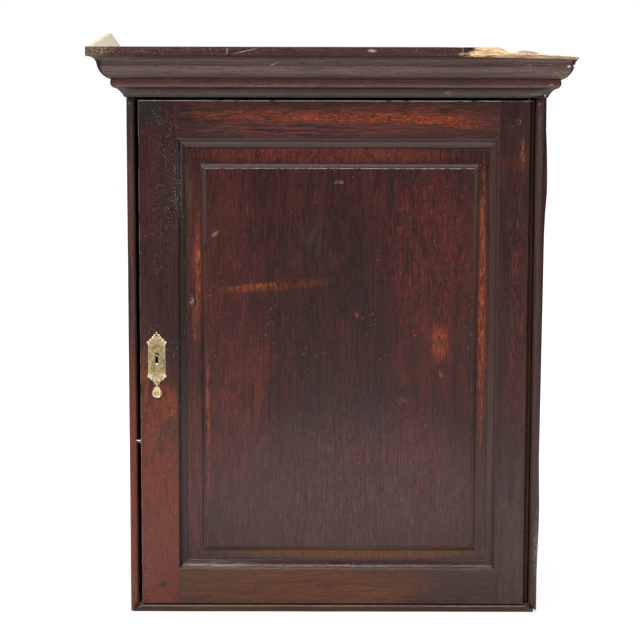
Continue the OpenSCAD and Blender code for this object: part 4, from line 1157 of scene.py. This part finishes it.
@dataclass
class Door:
    """The panelled door: its frame, pegs and panel. Lengths are in millimetres.

    shoulders are the frame's inner edges: left, right, foot and top. What lies before moulding_y is its front.
    Dirt on the field's edge starts at clean_below, and is full dirt_rise higher. The bottom rail's arris is
    rubbed most left of rubbed_rail_x. near is how close to a place an arris has to lie to count as there.
    """

    body: str = "door"
    arris: float = 0.9
    shoulders: tuple[float, float, float, float] = (-247.5, 257.0, 70.5, 760.5)
    field_face_y: float = -143.5
    margin_y: float = -138.0
    door_top: float = 820.0
    # Depth of the pale band along the door's top: a little dust, and a painted highlight along its front
    pale_top_band: float = 1.2
    left_edge: float = -306.5
    moulding_y: float = -135.0
    moulding_w: float = 14.0
    field_top: float = 708.0
    field_left: float = -200.0
    clean_below: float = 430.0
    dirt_rise: float = 230.0
    rubbed_rail_x: float = -110.0
    top_pegs_z: float = 781.0
    pin_peg_x: float = 286.0
    near: float = 1.5

    def is_moulding(self, middle: Vector, normal: Vector) -> bool:
        """Says whether a face of the frame belongs to the moulding round the panel."""
        x0, x1, z0, z1 = self.shoulders
        return x0 < middle.x < x1 and z0 < middle.z < z1 and middle.y < self.moulding_y

    def edge_dirt(self, middle: Vector, normal: Vector) -> float:
        """Says how much dirt the moulded edge of the panel's field holds: less towards the foot."""
        in_edge = self.field_face_y + 0.3 < middle.y < self.margin_y - 0.4
        return in_edge * min(max((middle.z - self.clean_below) / self.dirt_rise, 0), 1)

    def top_dust_and_highlight(self, middle: Vector, normal: Vector) -> float:
        """Says how pale the door's upper edge is painted: a little dust on its top face, and a painted highlight
        along its front.
        """
        if middle.z < self.door_top - self.pale_top_band:
            return 0.0
        return (0.5 if normal.z > 0.9 else 3.0) * (0.25 if middle.x > self.shoulders[1] else 1.0)

    def wear(self, spot: Vector) -> float:
        """Says how far an arris of the frame is rubbed, and how strong the painted highlight along the door's top
        is.
        """
        rail_edge = self.shoulders[2]
        if spot.y > self.moulding_y:
            return 0.0
        # Along the door's top the pale arris is a painted highlight with some dust; the other arrises are rubbed
        if spot.z > self.door_top - self.near:
            return 0.3 if spot.x > self.shoulders[1] else 3.0
        if spot.x < self.left_edge + self.near:
            return 0.9
        if abs(spot.z - rail_edge) < self.near:
            return 0.5 if spot.x < self.rubbed_rail_x else 0.15
        return 0.2 if abs(spot.z - rail_edge - self.moulding_w) < 2 else 0.1

    def field_wear_and_highlight(self, spot: Vector) -> float:
        """Says how pale an arris of the panel is: a painted highlight along the top of the field, and wear
        elsewhere.
        """
        # The top of the field is a painted highlight, where light from above catches it; the rest is wear
        if spot.z > self.field_top:
            return 1.0
        return 0.3 if spot.x < self.field_left else 0.15

    def wear_pegs(self, spot: Vector) -> float:
        """Says how far a peg's rim is rubbed: most at the upper right of the peg in the pin stile's top."""
        if spot.x > 0 and spot.z > self.top_pegs_z:
            return 3.0 if spot.x > self.pin_peg_x else 0.6
        return 0.5 if spot.z > self.top_pegs_z else 0.1

    def build(self) -> None:
        """Dresses the members of the door, bare on their backs."""
        finishes = {
            "lock_stile": StainedOak("stained_oak_lock_stile", Grain.Z, "#421f1a", "#2b1512", "#532522",
                                     clouding=0.2, marks=LOCK_STILE_MARKS, rubs=LOCK_STILE_RUBS, grime="#21120f",
                                     specks=0.5, streak=0.5, arris="#b3a496", turn=51.0),
            "pin_stile": StainedOak("stained_oak_pin_stile", Grain.Z, "#3f211c", "#2b1713", "#5c2620",
                                    marks=PIN_STILE_MARKS, grime="#472f2b", arris="#b3a496", turn=57.0),
            "top_rail": StainedOak("stained_oak_top_rail", Grain.X, "#4c2925", "#321a17", "#6a332b",
                                   marks=TOP_RAIL_MARKS, arris="#b8aa9c", grime="#56423e", cloud_size=(4, 30),
                                   turn=61.0),
            "bottom_rail": StainedOak("stained_oak_bottom_rail", Grain.X, "#4d2e27", "#33201b", "#66382a",
                                      marks=BOTTOM_RAIL_MARKS, rubs=BOTTOM_RAIL_RUBS, grime="#3f281f",
                                      arris="#a39488", cloud_size=(4, 30), specks=0.25, turn=67.0),
        }
        for node, finish in finishes.items():
            Board(node, self.body, "door_oak", self.arris, worn=self.wear, bare=facing(BACK),
                  grimy=self.is_moulding, pale_coat=self.top_dust_and_highlight,
                  cut=self.door_top - self.pale_top_band).dress(finish.make())
        panel = StainedOak("stained_oak_panel", Grain.Z, marks=PANEL_MARKS_AND_REFLECTION, specks=0.3, grime="#4b3a36",
                           arris="#93857a", turn=71.0)
        Board("door_panel", self.body, "door_oak", self.arris, worn=self.field_wear_and_highlight, bare=facing(BACK),
              grimy=self.edge_dirt, wavering=Grain.Z, amount=0.12).dress(panel.make())
        pegs = StainedOak("stained_oak_pegs", Grain.Y, "#573026", "#3c221b", specks=0.0, arris="#a08f7c",
                          turn=77.0).make()
        Board("door_pegs", self.body, "peg_oak", 0.8, shortest=0.3, worn=self.wear_pegs,
              bare=facing(BACK)).dress(pegs)


@dataclass
class KeyPlate:
    """The cast brass plate with its lobes and cut lines, and the drop.

    Lengths are in millimetres. The lobes are given as a place along X and a height from the key's pin, and a
    radius, for the right half, and the wire as places along X and heights. lip_at is the lip's place from the
    pin and the plate's face. lip and petal are the half sizes of the lip and of one petal.
    """

    x: float = -280.5
    z: float = 418.0
    half_w: float = 13.7
    head: float = 18.5
    foot: float = -28.5
    plate_y: float = -148.3
    edge: float = 0.3
    lobes: tuple[tuple[float, float, float], ...] = (
        (13.2, 20.5, 2.2), (12.4, 17.0, 1.6), (9.6, 24.3, 2.0), (6.2, 28.0, 1.9), (3.4, 31.9, 1.7),
        (12.1, -33.5, 2.7), (8.9, -37.7, 2.0), (4.7, -40.7, 1.7))
    wire: tuple[tuple[float, float], ...] = ((-9.0, 2.6), (2.0, -2.0), (12.0, -5.0))
    wire_w: float = 1.7
    rim_r: float = 7.0
    rim_wire: float = 0.55
    petals: int = 8
    petal_ring: float = 4.3
    petal_out: float = 0.3
    petal: tuple[float, float, float] = (1.7, 0.7, 1.0)
    lip_at: tuple[float, float, float] = (0.3, 0.4, -14.2)
    lip: tuple[float, float, float] = (2.6, 0.9, 1.7)

    def is_sunk(self, middle: Vector, normal: Vector) -> bool:
        """Says whether a face lies in one of the plate's holes."""
        return abs(normal.y) < 0.3 and middle.y > self.plate_y + 0.4

    def dome(self, made: bmesh.types.BMesh, x: float, z: float, radius: float, height: float) -> None:
        """Adds a low dome on the plate's face.

        Args:
            made: The mesh that it goes into.
            x: Its place along X from the key's pin.
            z: Its height from the key's pin.
            radius: Its radius.
            height: How far it stands out.
        """
        spot = Matrix.Translation(Vector((self.x + x, self.plate_y + 0.1, self.z + z)) * MM)
        flat = Matrix.Diagonal((radius * MM, height * MM, radius * MM, 1.0))
        bmesh.ops.create_uvsphere(made, u_segments=20, v_segments=12, radius=1.0, matrix=spot @ flat)

    def ridge(self, made: bmesh.types.BMesh, start: tuple[float, float], end: tuple[float, float],
              width: float = 1.1) -> None:
        """Adds a cast ridge on the plate's face.

        Args:
            made: The mesh that it goes into.
            start: Where it starts, from the key's pin.
            end: Where it ends.
            width: Its width.
        """
        a, b = (Vector((self.x + x, self.plate_y, self.z + z)) * MM for x, z in (start, end))
        turn = (b - a).to_track_quat("Z", "Y").to_matrix().to_4x4()
        bmesh.ops.create_cone(made, cap_ends=True, segments=8, radius1=width * MM / 2, radius2=width * MM / 2,
                              depth=(b - a).length, matrix=Matrix.Translation((a + b) / 2) @ turn)

    def build_relief(self, brass: bpy.types.Material) -> None:
        """Builds the lobes, the border and the chevrons over the plate, with painted highlights on what faces
        forward or up and painted shade on what faces down or sideways.
        """
        made = bmesh.new()
        add_corner_layers(made)
        w = self.half_w - 0.7
        for side in (-1, 1):
            for x, z, radius in self.lobes:
                self.dome(made, side * x, z, radius, 0.9)
                self.dome(made, side * x, z, radius * 0.45, 1.3)
            self.ridge(made, (side * w, self.foot), (side * w, self.head))
            self.ridge(made, (side * w, self.foot), (0, self.foot - 10.5))
            self.ridge(made, (side * w, self.head), (side * 2.4, self.head + 11), 0.9)
            self.ridge(made, (side * 8.5, self.head + 0.6), (0, self.head + 8.5), 0.8)
            for drop in (0, 4):
                self.ridge(made, (side * 10, -22 - drop), (0, -30 - drop), 0.8)
        self.dome(made, 0, self.head + 17.2, 1.3, 1.1)
        # Painted highlight on faces that look forward or up
        mark_faces(made, ARRIS, lambda middle, normal: 0.85 * (normal.y < -0.5 or normal.z > 0.3))
        # Painted shade on faces that look down or sideways
        mark_faces(made, GRIME, lambda middle, normal: 0.8 * (normal.z < -0.3 or abs(normal.x) > 0.8))
        place_piece("key_plate_relief", made, brass, "door", smooth=60)

    def build_lip(self, gilt: bpy.types.Material) -> None:
        """Builds the worn lower lip of the keyhole."""
        made = bmesh.new()
        x, y, z = self.lip_at
        spot = Matrix.Translation(Vector((self.x + x, self.plate_y + y, self.z + z)) * MM)
        bmesh.ops.create_uvsphere(made, u_segments=16, v_segments=8, radius=1.0,
                                  matrix=spot @ Matrix.Diagonal((*(s * MM for s in self.lip), 1.0)))
        place_piece("keyhole_lip", made, gilt, "door", smooth=60)

    def build_wire(self) -> None:
        """Builds the pale bent wire that lies across the keyhole."""
        made = bmesh.new()
        for start, end in zip(self.wire, self.wire[1:]):
            self.ridge(made, start, end, self.wire_w)
        pale = OldMetal("pale_wire", "#d9bfb6", "#b1958d", "#5d4a44", 3.0, 0.5, 0.6, 0.1).make()
        place_piece("keyhole_wire", made, pale, "door", smooth=60)

    def build_rosette(self, gilt: bpy.types.Material) -> None:
        """Builds the rim and the petals on the drop's disc."""
        low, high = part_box("drop_handle")
        centre = Vector(((low.x + high.x) / 2, low.y + 0.6 * MM, low.z + 8 * MM))
        made = bmesh.new()
        bmesh.ops.create_circle(made, cap_ends=False, segments=10, radius=self.rim_wire * MM, matrix=(
            Matrix.Translation((self.rim_r * MM, 0, 0)) @ Matrix.Rotation(math.pi / 2, 4, "X")))
        bmesh.ops.spin(made, geom=made.verts[:] + made.edges[:], cent=(0, 0, 0), axis=(0, 0, 1), dvec=(0, 0, 0),
                       angle=math.tau, steps=48, use_merge=True, use_duplicate=False)
        bmesh.ops.rotate(made, cent=(0, 0, 0), matrix=Matrix.Rotation(math.pi / 2, 3, "X"), verts=made.verts[:])
        bmesh.ops.translate(made, vec=centre, verts=made.verts[:])
        for i in range(self.petals):
            turn = math.tau * i / self.petals
            across, up = self.petal_ring * math.cos(turn), self.petal_ring * math.sin(turn)
            spot = centre + Vector((across, -self.petal_out, up)) * MM
            shape = Matrix.Rotation(-turn, 4, "Y") @ Matrix.Diagonal((*(s * MM for s in self.petal), 1.0))
            bmesh.ops.create_uvsphere(made, u_segments=12, v_segments=8, radius=1.0,
                                      matrix=Matrix.Translation(spot) @ shape)
        bmesh.ops.recalc_face_normals(made, faces=made.faces[:])
        place_piece("drop_rosette", made, gilt, "drop", smooth=60)

    def build(self) -> None:
        """Dresses the plate, its pins and the drop."""
        streak = Mark("#a8978c", 3, 3, 0.10, 0.30, 0.95, Place(-276, 415, 17, 2.8, -20))
        sunk = Mark("#8d7c4a", 4, 4, 0.30, 0.6, 0.65, Place(-280.5, 415, 14.5, 36))
        cuts = [even_mark("#5a4a26", 0.7, Place(self.x + 5 * side, z, 8.5, 1.1, 38.7 * side))
                for side in (-1, 1) for z in (390, 394)]
        # A painted shadow line inside the plate's right border
        shade = even_mark("#43361f", 0.8, Place(self.x + 11.6, 404, 1.0, 16))
        olive = Mark("#a08a4a", 3, 3, 0.3, 0.55, 0.8, Place(-281, 357, 5, 4))
        green = Mark("#a3a04a", 4, 4, 0.50, 0.62, 0.5, Place(-272, 424, 6, 16))
        brass = OldMetal("cast_brass", "#ecdab2", "#b59d62", "#40331c", 7.0, 0.5, 0.34,
                         marks=(sunk, green, streak, shade, *cuts)).make()
        gilt = OldMetal("rubbed_brass", "#f3e4b8", "#d0b273", "#7a6236", 5.0, 0.6, 0.3, marks=(olive,)).make()
        dress_metal("escutcheon", brass, "door", self.edge, lambda spot: 0.9, self.is_sunk)
        dress_metal("escutcheon_pins", brass, "door", 0.1)
        dress_metal("drop_handle", gilt, "drop", 0.25)
        self.build_relief(brass)
        self.build_lip(gilt)
        self.build_wire()
        self.build_rosette(gilt)


class Ironwork:
    """The lock, the pins that the door turns on and stops at, and the nails."""

    def build(self) -> None:
        """Dresses every iron piece."""
        iron = OldMetal("forged_iron", "#6b645e", "#43302a", "#2a1c17", 4.0, 0.45, 0.5, 0.75, 0.3).make()
        bright = OldMetal("bright_iron", "#c8c6c0", "#a3a09a", "#6a655e", 5.0, 0.5, 0.35).make()
        for node in ("lock_backplate", "lock_case", "lock_screws"):
            dress_metal(node, iron, "door", 0.3)
        rubbed = OldMetal("brassy_iron", "#b09a70", "#7d6a48", "#3a2f20", 2.0, 0.5, 0.5, 0.7).make()
        dress_metal("key_pin", rubbed, "door", 0.3)
        dress_metal("lock_bolt", bright, "bolt", 0.4)
        for node in ("top_nails", "base_nails", "back_nails", "bearer_nails", "rail_nails", "lower_pivot_pin",
                     "upper_pivot_pin", "pivot_washer"):
            dress_metal(node, iron, "carcass", 0.2)
        # Near-white, so that the stop pin shows bright deep in the gap
        pale = OldMetal("near_white_iron", "#f2f0ea", "#e2dfd6", "#b0aca2", 5.0, 0.6, 0.6, 0.1).make()
        dress_metal("door_stop_pin", pale, "carcass", 0.2)


@dataclass
class Studio:
    """A plain pale floor under soft light, and the camera. Lengths are in metres.

    Each of the floor's fades starts and ends at a distance from the middle, and goes from one value to
    another: how bright the camera sees the floor, how bright the object mirrors it, and how the latter starts.
    """

    camera_at: Vector = field(default_factory=lambda: Vector((-0.023, -4.123, 1.1168)))
    camera_tilt: float = 80.825
    camera_roll: float = -0.12
    camera_pan: float = 0.018
    lens: float = 143.83
    floor_r: float = 14.0
    fades: tuple[tuple[float, float, float, float], ...] = (
        (0.35, 1.2, 0.75, 1.0), (0.8, 2.1, 1.1, 0.0), (0.25, 0.75, 0.25, 1.0))

    def lay_floor(self) -> None:
        """Lays the white floor. It keeps the object's shadow, and its glow dies off towards the camera."""
        material = bpy.data.materials.new("studio_floor")
        material.use_nodes = True
        tree = material.node_tree
        tree.nodes.clear()
        rays = add_node(tree, "ShaderNodeLightPath")
        coords = add_node(tree, "ShaderNodeTexCoord")
        far = add_node(tree, "ShaderNodeVectorMath", {0: coords.outputs["Object"]}, operation="LENGTH")
        open_floor, lit_floor, beyond_foot = (add_node(tree, "ShaderNodeMapRange", {
            "Value": far.outputs["Value"], "From Min": start, "From Max": end, "To Min": first, "To Max": last,
        }, interpolation_type="SMOOTHSTEP") for start, end, first, last in self.fades)
        lit = add_node(tree, "ShaderNodeMath", {0: lit_floor.outputs[0], 1: beyond_foot.outputs[0]},
                       operation="MULTIPLY")
        seen = add_node(tree, "ShaderNodeMath", {0: rays.outputs["Is Camera Ray"], 1: open_floor.outputs[0]},
                        operation="MULTIPLY")
        through = add_node(tree, "ShaderNodeMath", {
            0: rays.outputs["Is Transmission Ray"], 1: rays.outputs["Is Glossy Ray"],
        }, operation="ADD")
        mirrored = add_node(tree, "ShaderNodeMath", {0: through.outputs[0], 1: lit.outputs[0]},
                            operation="MULTIPLY")
        glow = add_node(tree, "ShaderNodeMath", {0: seen.outputs[0], 1: mirrored.outputs[0]}, operation="ADD")
        white = add_node(tree, "ShaderNodeEmission", {"Strength": glow.outputs[0]})
        matt = add_node(tree, "ShaderNodeBsdfDiffuse", {"Color": linear("#a8a8a6")})
        both = add_node(tree, "ShaderNodeAddShader", {0: white.outputs[0], 1: matt.outputs[0]})
        add_node(tree, "ShaderNodeOutputMaterial", {"Surface": both.outputs[0]})
        made = bmesh.new()
        bmesh.ops.create_circle(made, cap_ends=True, segments=96, radius=self.floor_r,
                                matrix=Matrix.Translation((0, 0, -0.2 * MM)))
        mesh = bpy.data.meshes.new("floor")
        made.to_mesh(mesh)
        made.free()
        mesh.materials.append(material)
        floor = bpy.data.objects.new("floor", mesh)
        bpy.context.scene.collection.objects.link(floor)

    def fill_room(self) -> None:
        """Gives the room a white ground for the camera and a soft grey light for everything else."""
        world = bpy.data.worlds.new("studio")
        bpy.context.scene.world = world
        world.use_nodes = True
        tree = world.node_tree
        tree.nodes.clear()
        rays = add_node(tree, "ShaderNodeLightPath")
        coords = add_node(tree, "ShaderNodeTexCoord")
        parts = add_node(tree, "ShaderNodeSeparateXYZ", {0: coords.outputs["Generated"]})
        room = add_node(tree, "ShaderNodeMapRange", {
            "Value": parts.outputs["Y"], "From Min": -0.6, "From Max": 0.8, "To Min": 0.05, "To Max": 0.6,
        })
        seen = add_node(tree, "ShaderNodeMath", {
            0: rays.outputs["Is Camera Ray"], 1: rays.outputs["Is Transmission Ray"],
        }, operation="MAXIMUM")
        level = add_node(tree, "ShaderNodeMix", {0: seen.outputs[0], 2: room.outputs[0], 3: 1.0})
        ground = add_node(tree, "ShaderNodeBackground", {"Color": linear("#ffffff"), "Strength": level.outputs[0]})
        add_node(tree, "ShaderNodeOutputWorld", {"Surface": ground.outputs[0]})

    def hang_lamp(self, name: str, at: Vector, to: Vector, size: tuple[float, float], power: float) -> None:
        """Hangs one soft box.

        Args:
            name: The lamp's name.
            at: Where it hangs.
            to: The point that it is turned to.
            size: Its width and height.
            power: Its power in watts.
        """
        lamp = bpy.data.lights.new(name, "AREA")
        lamp.shape = "RECTANGLE"
        lamp.size, lamp.size_y = size
        lamp.energy = power
        holder = bpy.data.objects.new(name, lamp)
        holder.location = at
        holder.rotation_euler = (to - at).to_track_quat("-Z", "Y").to_euler()
        bpy.context.scene.collection.objects.link(holder)

    def set_camera(self) -> None:
        """Sets the camera as the photograph's view has it."""
        camera = bpy.data.cameras.new("camera")
        camera.lens = self.lens
        camera.sensor_width = 36
        holder = bpy.data.objects.new("camera", camera)
        holder.location = self.camera_at
        holder.rotation_euler = [math.radians(a) for a in (self.camera_tilt, self.camera_roll, self.camera_pan)]
        bpy.context.scene.collection.objects.link(holder)
        bpy.context.scene.camera = holder

    def build(self) -> None:
        """Builds the whole studio."""
        bpy.context.scene.view_settings.view_transform = "Standard"
        middle = Vector((0, 0, 0.45))
        self.lay_floor()
        self.fill_room()
        self.hang_lamp("key_light", Vector((-1.9, -2.4, 2.8)), middle, (1.8, 1.4), 78)
        self.hang_lamp("fill_light", Vector((2.2, -2.8, 1.7)), middle, (1.8, 1.8), 30)
        self.hang_lamp("top_light", Vector((0.1, -0.7, 2.9)), middle, (2.0, 1.2), 66)
        self.set_camera()


def main() -> None:
    """Builds the cupboard's looks and the studio round it."""
    logging.basicConfig(level=logging.INFO, format="%(name)s: %(message)s")
    # Without this, the noise that moves the mouldings starts from the clock
    noise.seed_set(SEED)
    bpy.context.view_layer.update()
    for part in (Studio(), Carcass(), Cornice(), Door(), KeyPlate(), Ironwork()):
        part.build()


if __name__ == "__main__":
    main()
